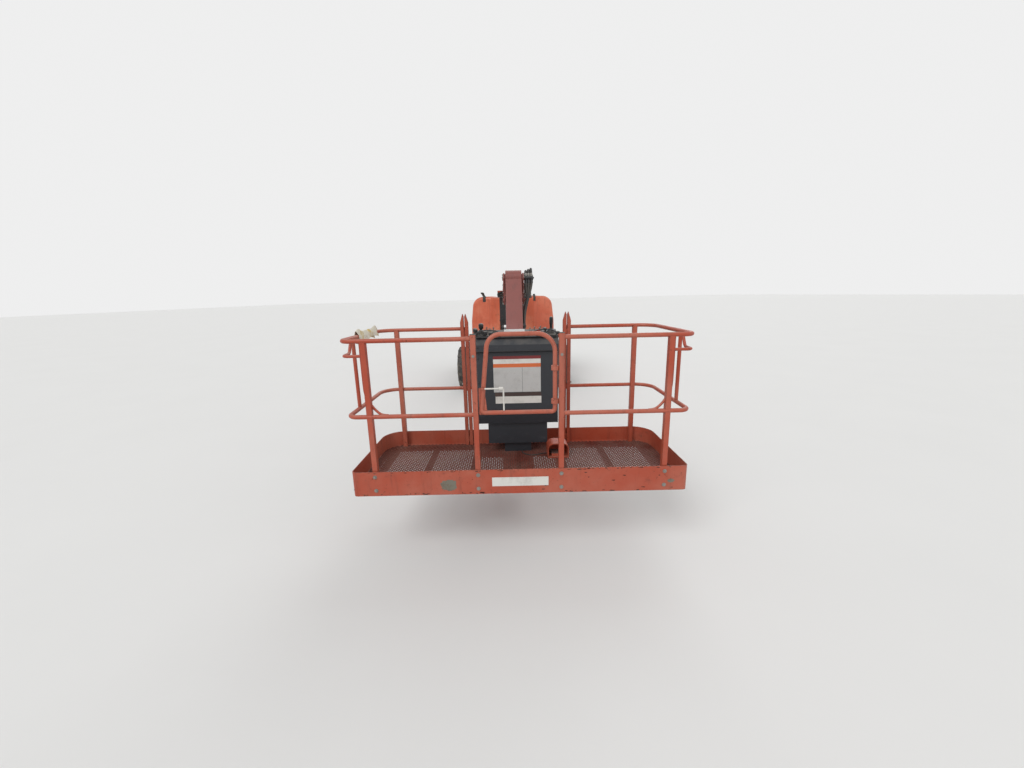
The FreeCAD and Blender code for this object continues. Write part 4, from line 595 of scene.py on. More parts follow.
tyre = Shape()
bulge = ((0.14, BEAD_RADIUS), (0.152, 0.262), (0.16, 0.285), (0.17, 0.315), (0.1765, 0.342), (0.178, 0.366),
    (0.1765, 0.386), (0.168, 0.404), (0.154, 0.418), (0.136, 0.4255), (0.11, TREAD_RADIUS))
tyre.turned("x", [(-x, r) for x, r in bulge] + [(x, r) for x, r in reversed(bulge)] + [
    (0.14, BEAD_RADIUS - 0.0005), (-0.14, BEAD_RADIUS - 0.0005)], (0, 0), 112)
bmesh.ops.delete(tyre.mesh, geom=[face for face in tyre.mesh.faces if len(face.verts) > 4],
    context="FACES_ONLY")
for side in BOTH:
    for bar in range(BARS):
        start = math.tau * (bar + (0.25 if side > 0 else -0.25)) / BARS
        rings = []
        # place across, turn of the bar's middle, half-width at foot and crown, foot and crown radius
        for across, lag, foot, crown, low, high in (
            (0.008, 0.0, 0.025, 0.017, 0.42, 0.4562), (0.07, 0.075, 0.027, 0.019, 0.42, TYRE_RADIUS),
            (0.128, 0.165, 0.029, 0.021, 0.42, 0.4562), (0.158, 0.205, 0.03, 0.021, 0.405, 0.446),
            (0.1745, 0.215, 0.03, 0.02, 0.376, 0.418), (0.1768, 0.218, 0.029, 0.016, 0.352, 0.38),
        ):
            ring = []
            for spread, radius in ((-foot, low), (-crown, high), (crown, high), (foot, low)):
                turn = start + lag + spread / radius
                push = across - (0.004 if radius == low else 0)
                ring.append((side * (push if across > 0.01 else across), radius * math.cos(turn),
                    radius * math.sin(turn)))
            rings.append(ring)
        tyre.skin(rings)
for ring_radius, face in ((0.3, 0.1652), (0.328, 0.1735)):
    for side in BOTH:
        tyre.turned("x", ((side * (face - 0.003), ring_radius - 0.004),
            (side * (face + 0.0022), ring_radius - 0.0015), (side * (face + 0.0022), ring_radius + 0.0015),
            (side * (face - 0.001), ring_radius + 0.004)), (0, 0), 96, caps=False)
tyre_mesh = tyre.bake("bar_tyre")
smooth(tyre_mesh, 36)
tyre_mesh.materials.append(tyre_rubber)
# name, side (-1 left), end (-1 the platform's)
WHEELS = (("drive_left", -1, -1), ("drive_right", 1, -1), ("steer_left", -1, 1), ("steer_right", 1, 1))
for name, side, end in WHEELS:
    low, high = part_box("tyre_" + name)
    hub = [(a + b) / 2 for a, b in zip(low, high)]
    piece = bpy.data.objects.new("tread_" + name, tyre_mesh)
    piece.matrix_world = Matrix.Translation(hub) @ Matrix.Rotation(0 if side > 0 else math.pi, 4, "Z")
    bpy.context.scene.collection.objects.link(piece)
    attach(piece, "wheel_" + name)
    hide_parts("tyre_" + name)
print(len(tyre_mesh.polygons), "faces in the shared tyre")

# %% [markdown]
# ## Wheel nuts and hub covers
#
# The wheel's disc is bolted to the hub with a ring of nuts on studs, and the cover of the final drive has
# its own ring of small bolts and two plugs. Both rings are one small shape stepped round the axle.

# %% Bolt the wheels on
AXLE_Y, AXLE_Z = 1.24, 0.457
DISC_X, NUT_CIRCLE = 1.0045, 0.155
COVER_X, COVER_CIRCLE = 1.0905, 0.094

for name, side, end in WHEELS:
    hub = (end * AXLE_Y, AXLE_Z)
    nuts = Shape()
    for spot in circle(9, NUT_CIRCLE, hub):
        nuts.bolt("x", side * DISC_X, side, spot, 0.0135)
        nuts.raised("x", side * DISC_X, side, ((0, 0.0075), (0.034, 0.0075), (0.036, 0.006)), spot, 10)
    for spot in circle(12, COVER_CIRCLE, hub, 0.5):
        nuts.bolt("x", side * COVER_X, side, spot, 0.006)
    nuts.settle("wheel_nuts_" + name, "wheel_" + name, bright_zinc, 0, slot="axle_iron")
    cover = Shape()
    cover.raised("x", 0, side, ((1.088, 0.076), (1.097, 0.074), (1.103, 0.06), (1.105, 0.03)), hub, 36)
    for turn in (0.9, 3.6):
        spot = (hub[0] + 0.045 * math.cos(turn), hub[1] + 0.045 * math.sin(turn))
        cover.raised("x", 0, side, ((1.1, 0.011), (1.1125, 0.01), (1.1145, 0.007)), spot, 6)
    cover.settle("hub_cover_" + name, "wheel_" + name, axle_iron, 0.001)
print("four hubs bolted")

# %% [markdown]
# ## The console's panel and its controls
#
# The operator's controls stand in two groups on top of the console, one for each hand, with a blank
# instruction plate between them: joysticks in folded rubber boots, knobs, toggles under guards. Each
# kind is a turned profile, and a short table says where each one stands on the sloping panel.

# %% The panel frame
console_low, console_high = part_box("console")
panel_slope = math.atan2(0.035, console_high[1] - console_low[1] - 0.087)
panel = Matrix.Translation((0, console_low[1] + 0.065, FLOOR + 1.0505)) @ Matrix.Rotation(panel_slope, 4, "X")
print("panel slopes", round(math.degrees(panel_slope), 1), "degrees")

# %% Fill the panel
plates = Shape(panel)
plates.box((-0.34, 0.34), (-0.036, 0.185), (-0.004, 0.004))
for x0, x1 in ((-0.335, -0.128), (0.165, 0.335)):
    plates.box((x0, x1), (-0.03, 0.15), (0.004, 0.012))
plates.settle("panel_plates", "platform", dark_plastic, 0.002, ["control_switches", "joystick"])

controls = Shape(panel)
# x, y, foot radius, height, stalk and grip radius of each joystick
for x, y, foot, tall, stalk, grip in ((-0.296, 0.06, 0.042, 0.098, 0.011, 0.021),
        (-0.34, 0.01, 0.03, 0.066, 0.009, 0.018), (0.298, 0.05, 0.046, 0.146, 0.012, 0.0155)):
    boot = [(0.012, foot)]
    for fold in range(4):
        share = (fold + 1) / 4.6
        z = 0.014 + fold * 0.0085
        boot += [(z + 0.002, foot * (1.04 - share * 0.68)), (z + 0.0055, foot * (0.9 - share * 0.68))]
    boot += [(0.05, stalk), (tall * 0.52, stalk), (tall * 0.56, grip * 0.92), (tall * 0.7, grip),
        (tall * 0.9, grip), (tall * 0.97, grip * 0.86), (tall, grip * 0.6)]
    controls.turned("z", boot, (x, y), 28)
# x, y, radius, height of each round knob
for x, y, radius, tall in ((-0.262, -0.004, 0.019, 0.046), (-0.214, -0.01, 0.015, 0.038),
        (-0.352, 0.09, 0.016, 0.05), (0.226, -0.008, 0.018, 0.042), (0.25, 0.096, 0.015, 0.044),
        (0.35, 0.0, 0.017, 0.034)):
    controls.turned("z", ((0.012, radius * 0.7), (0.018, radius * 0.72), (0.019, radius),
        (tall * 0.9, radius * 0.94), (tall, radius * 0.78)), (x, y), 20)
    for spot in circle(10, radius, (x, y)):
        controls.turned("z", ((0.02, 0.0022), (tall * 0.88, 0.002)), spot, 6)
controls.settle("hand_controls", "platform", glossy_black, 0.0006)

# x, y of each toggle: a nut and a bat handle that leans; a hoop stands beside each pair
toggles = Shape(panel)
for x, y in ((-0.25, 0.11), (-0.22, 0.06), (-0.192, 0.1), (0.12, 0.06), (0.16, 0.09), (0.2, 0.06),
        (0.214, 0.112)):
    toggles.turned("z", ((0.012, 0.01), (0.02, 0.01), (0.021, 0.007)), (x, y), 6)
    toggles.skin([[(*spot, z) for spot in circle(4, r, (x, y + lean))]
        for r, lean, z in ((0.0035, 0, 0.02), (0.004, -0.006, 0.04), (0.006, -0.011, 0.054),
        (0.004, -0.012, 0.059))])
    for side in (-0.014, 0.014):
        toggles.skin([[(*spot, z) for spot in circle(3, 0.002, (x + side, y + along))]
            for along, z in ((-0.016, 0.012), (-0.016, 0.034), (-0.008, 0.042), (0.008, 0.042),
            (0.014, 0.034), (0.014, 0.012))])
toggles.settle("toggles", "platform", bright_zinc, 0, slot="black_plastic")

pod = Shape(panel)
pod.plate("x", -0.11, 0.082, ((-0.024, 0.006), (0.072, 0.006), (0.072, 0.04), (0.058, 0.044),
    (-0.024, 0.022)))
pod.settle("panel_pod", "platform", dark_plastic, 0.003)
card = Shape(panel)
card.plate("x", -0.102, 0.074, ((-0.02, 0.0232), (0.056, 0.0436), (0.0557, 0.0448), (-0.0203, 0.0244)))
card.settle("panel_card", "platform", grey_plate, 0.0003, slot="black_plastic")
small_plates = Shape(panel)
for x0, x1 in ((-0.208, -0.168), (-0.15, -0.118), (0.086, 0.11)):
    small_plates.box((x0, x1), (-0.02, 0.03), (0.012, 0.0135))
small_plates.settle("panel_small_plates", "platform", pale_plate, 0.0003)

stop = Shape(panel)
stop.turned("z", ((0.012, 0.019), (0.02, 0.019), (0.021, 0.011), (0.034, 0.011), (0.035, 0.019),
    (0.043, 0.02), (0.047, 0.014)), (0.188, 0.02), 28)
stop.settle("stop_button", "platform", faded_red, 0.0006)

bow = ((0.128, 0.008), (0.128, 0.06), (0.34, 0.062), (0.34, 0.008))
bows = [[panel @ Vector((sign * x, -0.028, z)) for x, z in bow] for sign in BOTH]
guard = hoses("panel_guard", "platform", bows, 0.005, cylinder_black)
lamps = Shape(panel)
for x in (-0.09, -0.066, -0.042, 0.03, 0.055):
    lamps.turned("z", ((0.004, 0.008), (0.009, 0.008), (0.011, 0.0055)), (x, 0.098), 14)
lamps.settle("panel_lamps", "platform", pale_plate, 0.0005)
tally("panel", guard)

# %% [markdown]
# ## Plates on the console and the toe board
#
# The instruction plates keep their outlines and coloured bands and nothing else: a white vinyl face,
# a dark red band along the top, an orange one under it. They are thin boxes that stand 1 mm proud.

# %% The blank plates
plate_face = console_low[1] + 0.025
# name, x from, x to, z from, z to, finish
BANDS = (
    ("top_band", -0.199, 0.203, 1.481, 1.507, dull_red),
    ("head", -0.199, 0.203, 1.442, 1.481, pale_plate),
    ("orange_band", -0.199, 0.203, 1.41, 1.442, plate_orange),
    ("field_left", -0.199, 0.045, 1.195, 1.41, grey_plate),
    ("field_right", 0.047, 0.203, 1.195, 1.41, grey_plate),
    ("low_dark", -0.19, 0.207, 1.158, 1.191, plate_brown),
    ("low_plate", -0.187, 0.207, 1.095, 1.157, pale_plate),
)
for name, x0, x1, z0, z1, finish in BANDS:
    band = Shape()
    band.box((x0, x1), (plate_face - 0.0012, plate_face + 0.002), (z0, z1))
    band.settle("plate_" + name, "platform", finish, 0.0003, slot="console_shell")
toe_plate = Shape()
toe_plate.box((-0.206, 0.212), (NEAR - 0.0012, NEAR + 0.001), (0.624, 0.694))
toe_plate.settle("plate_toe_board", "platform", pale_plate, 0.0003, slot="rail_paint")
print(len(BANDS) + 1, "blank plates")

# %% [markdown]
# ## Bolts along the platform
#
# Every post is bolted through the toe board, two bolts one above the other, and the rails' sleeves have
# their own. A loop over the posts places them all.

# %% Bolt the platform together
fixings = Shape()
CORNER_POST, TOE_BOLTS = 1.07, (0.608, 0.716)
for face, out, inner_post in ((NEAR, -1, 0.308), (FAR, 1, 0.46)):
    for x in (-CORNER_POST, -inner_post, inner_post, CORNER_POST):
        for z in TOE_BOLTS:
            fixings.bolt("y", face, out, (x, z), 0.01)
for sign in BOTH:
    for z in (1.174, 1.68):
        fixings.bolt("x", sign * 0.495, sign, (FAR - 0.026, z + 0.036), 0.009)
    fixings.bolt("y", NEAR + 0.0055, -1, (sign * 0.308, 1.6), 0.007)
fixings.settle("platform_bolts", "platform", bright_zinc, 0, slot="rail_paint")

console_trim = Shape()
console_trim.box((-0.357, 0.357), (console_low[1] - 0.004, console_low[1] + 0.02), (1.5485, 1.5545))
for z, face in ((1.05, 0.0255), (1.28, 0.0255), (1.49, 0.0255), (1.585, 0.0005)):
    for x in (-0.32495, 0.32495):
        console_trim.bolt("y", console_low[1] + face, -1, (x, z), 0.006)
console_trim.settle("console_trim", "platform", dark_plastic, 0.001, slot="console_shell")

treadle = Shape()
guard_low, guard_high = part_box("foot_switch")
for i in range(7):
    y = guard_low[1] + 0.03 + i * 0.015
    treadle.box((guard_low[0] + 0.03, guard_high[0] - 0.03), (y, y + 0.006), (FLOOR + 0.03, FLOOR + 0.0345))
treadle.settle("treadle_ribs", "platform", hose_rubber, 0.001)
print("platform fittings bolted on")

# %% [markdown]
# ## Hoses of the jib
#
# Oil and power cross the nose in a bundle of hoses that arches over the jib's pin to a swivel there, and
# goes on down the jib's side in clamps. Each hose is a NURBS line; its ends are crimped to hexagon
# fittings, which are turned profiles drawn in a frame that points along the hose.

# %% Run the jib's hoses
JIB_Y, JIB_Z, JIB_SIDE, JIB_SLOPE = -5.05, 2.2, 0.095, math.radians(62)
HOSE_RADIUS = 0.0138
jib_frame = Matrix.Translation((0, JIB_Y, JIB_Z)) @ Matrix.Rotation(JIB_SLOPE, 4, "X")
# x of a hose, height of its arch over the pin, its depth on the jib
BUNDLE = ((0.152, 0.084, -0.034), (0.184, 0.096, 0.0), (0.216, 0.108, 0.034))
over_nose, down_jib = [], []
for i, (x, arch, depth) in enumerate(BUNDLE):
    over_nose.append([(x, JIB_Y + y, JIB_Z + z) for y, z in ((0.395, -0.19), (0.362, -0.115), (0.33, -0.04),
        (0.285, 0.02 + arch / 3), (0.24, arch), (0.17, arch * 1.06), (arch, arch), (0.05, 0.05))])
    side = JIB_SIDE + 0.016
    down_jib.append([jib_frame @ Vector(p) for p in ((x, -0.055, 0), (x - 0.004, -0.11, 0),
        (side + 0.044 + 0.01 * i, -0.25, depth * 0.4), (side + 0.014 + 0.006 * i, -0.4, depth * 0.8),
        (side, -0.56, depth), (side, -0.9, depth), (side + 0.003, -1.25, depth), (side, -1.56, depth))])
nose_bundle = hoses("nose_hose_bundle", "nose", over_nose, HOSE_RADIUS, hose_rubber, replaces=["nose_hoses"])
jib_bundle = hoses("jib_hose_bundle", "jib", down_jib, HOSE_RADIUS, hose_rubber, replaces=["jib_hoses"])


def ferrule(shape, start=0.026):
    """A hexagon nut and a ribbed crimp along +Y from the shape's own frame."""
    shape.turned("y", ((start, 0.01), (start + 0.002, 0.0145), (start + 0.013, 0.0145),
        (start + 0.015, 0.011)), (0, 0), 6)
    crimp = [(start + 0.014, 0.011)]
    for rib in range(4):
        crimp += [(start + 0.016 + rib * 0.006, 0.0168), (start + 0.02 + rib * 0.006, 0.0158)]
    shape.turned("y", crimp + [(start + 0.044, 0.0145)], (0, 0), 20)


fittings = Shape()
for x, arch, depth in BUNDLE:
    fittings.frame = Matrix.Translation((x, JIB_Y, JIB_Z)) @ Matrix.Rotation(math.radians(45), 4, "X")
    ferrule(fittings)
    low_end = Matrix.Translation((x, JIB_Y + 0.389, JIB_Z - 0.204))
    fittings.frame = low_end @ Matrix.Rotation(math.radians(113), 4, "X")
    ferrule(fittings, -0.012)
fittings.settle("nose_fittings", "nose", bright_zinc, 0.0006)
fittings = Shape()
for x, arch, depth in BUNDLE:
    fittings.frame = jib_frame @ Matrix.Translation((x, 0, 0)) @ Matrix.Rotation(math.pi, 4, "X")
    ferrule(fittings)
fittings.frame = jib_frame
fittings.turned("x", ((0.134, 0.022), (0.137, 0.03), (0.168, 0.03), (0.171, 0.024), (0.198, 0.024),
    (0.201, 0.03), (0.232, 0.03), (0.235, 0.024)), (0, 0), 28)
fittings.turned("x", ((0.234, 0.012), (0.244, 0.012), (0.246, 0.009)), (0, 0), 6)
fittings.settle("jib_swivel", "jib", cylinder_black, 0.0008)

carrier = Shape()
carrier.box((0.122, 0.13), (JIB_Y + 0.082, JIB_Y + 0.382), (JIB_Z - 0.08, JIB_Z - 0.056))
carrier.box((0.122, 0.128), (JIB_Y + 0.352, JIB_Y + 0.382), (JIB_Z - 0.235, JIB_Z - 0.056))
carrier.box((0.122, 0.236), (JIB_Y + 0.38, JIB_Y + 0.402), (JIB_Z - 0.238, JIB_Z - 0.206))
for x, arch, depth in BUNDLE:
    carrier.box((x - 0.0155, x + 0.0155), (JIB_Y + 0.3, JIB_Y + 0.384), (JIB_Z - 0.062, JIB_Z - 0.046))
for y in (0.105, 0.215):
    carrier.bolt("x", 0.13, 1, (JIB_Y + y, JIB_Z - 0.068), 0.007)
carrier.settle("nose_hose_carrier", "nose", frame_grey, 0.001)
clamps = Shape(jib_frame)
for y in (-0.64, -1.08, -1.54):
    clamps.box((JIB_SIDE, JIB_SIDE + 0.005), (y - 0.004, y + 0.034), (-0.06, 0.06))
    clamps.box((JIB_SIDE + 0.004, JIB_SIDE + 0.033), (y, y + 0.03), (-0.055, 0.055))
    for z in (-0.017, 0.017):
        clamps.bolt("x", JIB_SIDE + 0.033, 1, (y + 0.015, z), 0.006)
clamps.settle("jib_hose_clamps", "jib", dark_plastic, 0.001)
tally("hoses", nose_bundle, jib_bundle)

# %% [markdown]
# ## Pins and their keepers
#
# Each boom turns on a pin, and a small bolted plate in a slot of the pin's end keeps it from turning or
# walking out. A table gives every pin its body, side face, place and radius, and one loop draws them all.
# The tower's own pivot, between the turntable's plates, has a round cover with four bolts instead.

# %% Keep the pins
# name, body, face, how far the pin stands out of it, y, z, radius, turn of the keeper
PINS = (
    ("nose_pin", "nose", 0.122, 0.01, -4.9, 2.085, 0.026, 0.4),
    ("jib_pin", "nose", 0.122, 0.01, -5.05, 2.2, 0.026, 2.2),
    ("link_pin", "nose", 0.122, 0.01, -5.05, 1.94, 0.026, -1.2),
    ("jib_low_pin", "jib_support", 0.122, 0.008, -5.9007, 0.6, 0.026, 1.0),
    ("link_low_pin", "jib_support", 0.122, 0.008, -5.9007, 0.34, 0.026, -1.4),
    ("main_pivot", "upright", 0.158, 0.012, 1.15, 2.16, 0.04, -1.57),
    ("tower_top_pin", "upright", 0.158, 0.012, 1.15, 1.6, 0.04, 1.57),
)
for name, body, face, out, y, z, radius, turn in PINS:
    keeper = Shape()
    c, d = math.cos(turn), math.sin(turn)
    # places in the keeper: a along it, b away from the pin
    spots = [(y + (radius + 0.004 + b) * c - a * d, z + (radius + 0.004 + b) * d + a * c)
        for a, b in ((-0.034, -0.011), (0.034, -0.011), (0.034, 0.011), (-0.034, 0.011), (-0.026, 0),
        (0.026, 0))]
    for sign in BOTH:
        keeper.raised("x", sign * face, sign, ((out - 0.001, radius - 0.004), (out + 0.001, radius - 0.005),
            (out + 0.001, 0.004)), (y, z))
        keeper.plate("x", sign * face, sign * (face + 0.007), spots[:4])
        for spot in spots[4:]:
            keeper.bolt("x", sign * (face + 0.007), sign, spot, 0.0065)
    keeper.settle(name + "_keepers", body, bright_zinc, 0.0006)
keeper = Shape()
TOWER_FOOT = (-1.05, 1.2)
for sign in BOTH:
    keeper.raised("x", 0, sign, ((0.253, 0.06), (0.26, 0.058), (0.262, 0.02)), TOWER_FOOT, 30)
    for spot in circle(4, 0.042, TOWER_FOOT, 0.5):
        keeper.bolt("x", sign * 0.2595, sign, spot, 0.007)
keeper.settle("tower_pivot_keepers", "turntable", bright_zinc, 0.0006)
print(len(PINS) + 1, "pins kept")

# %% [markdown]
# ## Booms: wear pads, pipes and blank plates
#
# A telescoping section slides on plastic pads held in the mouth of the outer one; their ends and the
# bolts that shim them show all round. Steel pipes in clamps carry the oil along the boom's side.

# %% Dress the booms
TOWER_SLOPE = math.radians(10.305)
tower_frame = Matrix.Translation((0, *TOWER_FOOT)) @ Matrix.Rotation(TOWER_SLOPE, 4, "X")
# name, body, frame, place of the mouth, outwards, middle height, half-sizes of the collar and of the section
# inside it, how long the collar is
MOUTHS = (
    ("main_mouth", "main_boom", Matrix(), -3.95, -1, 2.085, (0.144, 0.174), (0.1, 0.135), 0.11),
    ("tower_mouth", "tower_boom", tower_frame, 1.96, 1, 0.0, (0.154, 0.164), (0.118, 0.125), 0.09),
)
for name, body, turned_frame, mouth, out, middle, collar, inner, band in MOUTHS:
    pads, bolts = Shape(turned_frame), Shape(turned_frame)
    ys = (mouth, mouth + out * 0.006)
    for sign in BOTH:
        for x in (-0.06, 0.06):
            zs = (middle + sign * (inner[1] + 0.0015), middle + sign * (collar[1] - 0.01))
            pads.box((x - 0.03, x + 0.03), ys, zs)
            bolts.bolt("z", middle + sign * collar[1], sign, (x, mouth - out * band / 2), 0.008)
        xs = (sign * (inner[0] + 0.0015), sign * (collar[0] - 0.008))
        for z in (middle - 0.075, middle + 0.075):
            pads.box(xs, ys, (z - 0.032, z + 0.032))
            bolts.bolt("x", sign * collar[0], sign, (mouth - out * band / 2, z), 0.008)
    pads.settle(name + "_wear_pads", body, pale_plate, 0.001)
    bolts.settle(name + "_pad_bolts", body, bright_zinc, 0)

PIPE_X = 0.1375
pipes = [[*((PIPE_X, y, z) for y in (-3.8, -2.6, -1.4, -0.2, 0.8)), (PIPE_X, 0.9, z - 0.03),
    (0.12, 0.94, z - 0.06)] for z in (2.01, 2.034, 2.058)]
boom_pipes = hoses("main_boom_pipes", "main_boom", pipes, 0.0065, cylinder_black)
holders = Shape()
for i in range(7):
    y = -3.72 + i * 0.73
    holders.box((0.13, 0.1465), (y, y + 0.03), (1.996, 2.072))
    for z in (2.022, 2.046):
        holders.bolt("x", 0.1465, 1, (y + 0.015, z), 0.0045)
holders.settle("boom_pipe_clamps", "main_boom", dark_plastic, 0.0008)
boards = Shape()
for sign in BOTH:
    xs = (sign * 0.13, sign * 0.1312)
    boards.box(xs, (-1.1, -0.55), (2.115, 2.205))
    boards.box(xs, (-3.7, -3.5), (2.11, 2.2))
boards.settle("boom_plates", "main_boom", pale_plate, 0.0003, slot="orange_paint")
jib_boards = Shape(jib_frame)
for sign in BOTH:
    long = 0.16 if sign > 0 else 0.3
    jib_boards.box((sign * JIB_SIDE, sign * 0.0961), (-0.36 - long, -0.36), (-0.04, 0.04))
jib_boards.settle("jib_plates", "jib", pale_plate, 0.0003, slot="orange_paint")
tally("booms", boom_pipes)

# %% [markdown]
# ## The power track
#
# The track's links are joined by pins with washers, seen as a row of studs along its side. Its lower run
# lies in a tray whose end is closed by a plate, and hoses leave the moving end for the boom's side.

# %% Dress the power track
TRACK_OUT, STUD = -0.205, ((0.002, 0.01), (0.006, 0.0095), (0.007, 0.006))
for name, body, y0, y1, z, links in (("run", "main_boom_fly", -4.7, -1.722, 2.01, 20),
        ("tray", "main_boom", -3.89, -1.72, 1.63, 14)):
    studs = Shape()
    pitch = (y1 - y0) / links
    for i in range(links):
        y = y0 + pitch * (i + 0.5)
        studs.box((TRACK_OUT, TRACK_OUT - 0.003), (y - 0.055, y + 0.055), (z - 0.02, z + 0.02))
        for shift in (-0.044, 0.044):
            studs.raised("x", TRACK_OUT, -1, STUD, (y + shift, z), 14)
    studs.settle("track_links_" + name, body, dark_plastic, 0.0006)
end_plate = Shape()
end_plate.box((-0.206, -0.112), (-3.868, -3.862), (1.56, 1.915))
end_plate.box((-0.206, -0.146), (-3.868, -3.862), (1.914, 1.968))
end_plate.box((-0.204, -0.198), (-3.862, -3.8), (1.594, 1.7))
for z in (1.7, 1.8, 1.9):
    end_plate.bolt("y", -3.868, -1, (-0.175, z), 0.007)
end_plate.settle("track_end_plate", "main_boom", cylinder_black, 0.001, slot="black_plastic")
leads = [[(x, -4.69, 2.01), (x, -4.706, 2.01), (x + 0.005, -4.73, 2.013 + lift * 0.7),
    (x + 0.03, -4.746, 2.018 + lift), (-0.098, -4.748, 2.018 + lift)]
    for x, lift in ((-0.19, 0.03), (-0.175, 0.0), (-0.16, -0.03))]
track_leads = hoses("track_leads", "main_boom_fly", leads, 0.0085, hose_rubber)
front = Shape()
front.box((-0.206, -0.146), (-4.708, -4.7), (1.976, 2.044))
front.box((-0.106, -0.1), (-4.766, -4.722), (1.965, 2.075))
front.settle("track_front_clamp", "main_boom_fly", cylinder_black, 0.0008)
tally("track", track_leads)

# %% [markdown]
# ## Hoods
#
# The shells are moulded plastic on a steel frame. They carry pressed louvres with a lip over each slot,
# a paddle latch, a rubber catch on top, and hinge knuckles riveted along their inner edge.

# %% Fit the hoods out
LOUVRES, LOUVRE_PITCH = 6, 0.038

for side, sign in (("left", -1), ("right", 1)):
    slats = Shape()
    for i in range(LOUVRES):
        z = 1.12 + i * LOUVRE_PITCH
        skin_x = 0.913 - (z - 1.045) * 0.008 / 0.405
        slats.plate("y", -0.56, -0.06, [(sign * u, v) for u, v in ((skin_x - 0.002, z + 0.019),
            (skin_x + 0.009, z + 0.007), (skin_x + 0.009, z + 0.0045), (skin_x - 0.002, z + 0.0155))])
        slats.box((sign * 0.8985, sign * 0.9002), (-0.558, -0.062), (z + 0.001, z + 0.015))
    slats.settle("louvres_" + side, "hood_" + side, dark_plastic, 0.0006)
    latch = Shape()
    latch.box((sign * 0.9085, sign * 0.9125), (-0.93, -0.82), (1.17, 1.25))
    latch.plate("x", sign * 0.912, sign * 0.919, ((-0.915, 1.185), (-0.855, 1.18), (-0.855, 1.24),
        (-0.915, 1.235)))
    latch.raised("x", 0, sign, ((0.912, 0.01), (0.9175, 0.01), (0.9185, 0.006)), (-0.838, 1.21), 18)
    latch.box((sign * 0.35, sign * 0.42), (-1.1955, -1.203), (1.1, 1.2))
    latch.box((sign * 0.362, sign * 0.408), (-1.203, -1.21), (1.115, 1.168))
    latch.settle("hood_latch_" + side, "hood_" + side, glossy_black, 0.0015)
    rivets = Shape()
    for y in (-0.95, -0.3, 0.35):
        rivets.box((sign * 0.29, sign * 0.345), (y - 0.045, y + 0.045), (1.9525, 1.9575))
        for du, dy in ((0.308, -0.03), (0.308, 0.03), (0.332, -0.03), (0.332, 0.03)):
            rivets.turned("z", ((1.956, 0.0055), (1.9595, 0.005), (1.961, 0.003)), (sign * du, y + dy), 10)
    rivets.settle("hood_hinges_" + side, "hood_" + side, bright_zinc, 0.0005)
print("hoods fitted out")

# %% [markdown]
# The rubber catches are straps: thick at the root, leaning, with a bulged grip that a hand pulls, and a
# tail led over the hood's shoulder and down its front.

# %% Mould the catches
# side, middle of the root, middle of the tip, height of root and tip, half-thickness
for side, root, tip, low, high, half in (("left", -0.604, -0.662, 1.955, 2.066, 0.034),
        ("right", 0.475, 0.479, 1.96, 2.012, 0.024)):
    strap = Shape()
    rings = []
    for share, wide, deep in ((0, 1.25, 0.024), (0.15, 0.95, 0.02), (0.5, 0.85, 0.016), (0.72, 1.0, 0.018),
            (0.88, 1.15, 0.021), (1, 0.7, 0.014)):
        x, z = root + (tip - root) * share, low + (high - low) * share
        rings.append([(x + half * wide * u, -1.0025 + deep * v, z) for u, v in circle(16, 1)])
    strap.skin(rings)
    strap.box((root - 0.034, root + 0.034), (-1.03, -0.975), (low - 0.002, low + 0.022))
    face = -1.195 + (abs(root) - 0.462) * 0.13 / 0.463
    bend = [(face + 0.06, 1.9105, math.pi * (0.5 + k / 12)) for k in range(7)]
    over = [(y + 0.069 * math.cos(t), z + 0.069 * math.sin(t)) for y, z, t in bend]
    under = [(y + 0.058 * math.cos(t), z + 0.058 * math.sin(t)) for y, z, t in reversed(bend)]
    strap.plate("x", root - half, root + half, [(-0.99, 1.9795), *over, (face - 0.009, 1.866),
        (face + 0.002, 1.866), *under, (-0.99, 1.9685)])
    strap.settle("catch_strap_" + side, "hood_" + side, hose_rubber, 0.002, ["hood_catch_" + side])
print("catches moulded")

# %% [markdown]
# ## On the platform
#
# Details of use: a latch rod on the gate, whose pale finish is a painted highlight of sunlight, scuffs and
# chipped paint on the toe board, bent rods behind the corner posts, caps on the gate posts, and a faded work
# rag that was left over the side rail. The rag is
# a sheet of cloth: a grid laid over the tube, bunched up along the top, with a short hem on either side.

# %% Fit the platform out
gate_y = NEAR + 0.0245
# the latch rod is a real part, pale all over: a painted highlight of sunlight on the rod
rod_kit = Shape()
rod_kit.turned("x", ((-0.236, 0.0056), (-0.104, 0.0056)), (gate_y - 0.028, 1.37), 12)
rod_kit.turned("x", ((-0.136, 0.01), (-0.134, 0.0125), (-0.108, 0.0125), (-0.106, 0.01)),
    (gate_y - 0.028, 1.37), 16)
rod_kit.skin([[(*spot, z) for spot in circle(10, 0.0056, (-0.104, y))]
    for y, z in ((gate_y - 0.028, 1.371), (gate_y - 0.028, 1.345), (gate_y - 0.0075, 1.205))])
rod_kit.settle("gate_latch_rod", "gate", pale_plate, 0, slot="rail_paint")

random.seed(5)
CHIPS = 70


def ragged(middle, wide, tall, points, square=1.0, rough=0.16):
    """An irregular outline: a smoothed box with ragged edges."""
    ring = []
    for k in range(points):
        turn, reach = math.tau * k / points, random.uniform(1 - rough, 1 + rough)
        c, d = math.cos(turn), math.sin(turn)
        ring.append((middle[0] + wide * reach * math.copysign(abs(c) ** square, c),
            middle[1] + tall * reach * math.copysign(abs(d) ** square, d)))
    return ring


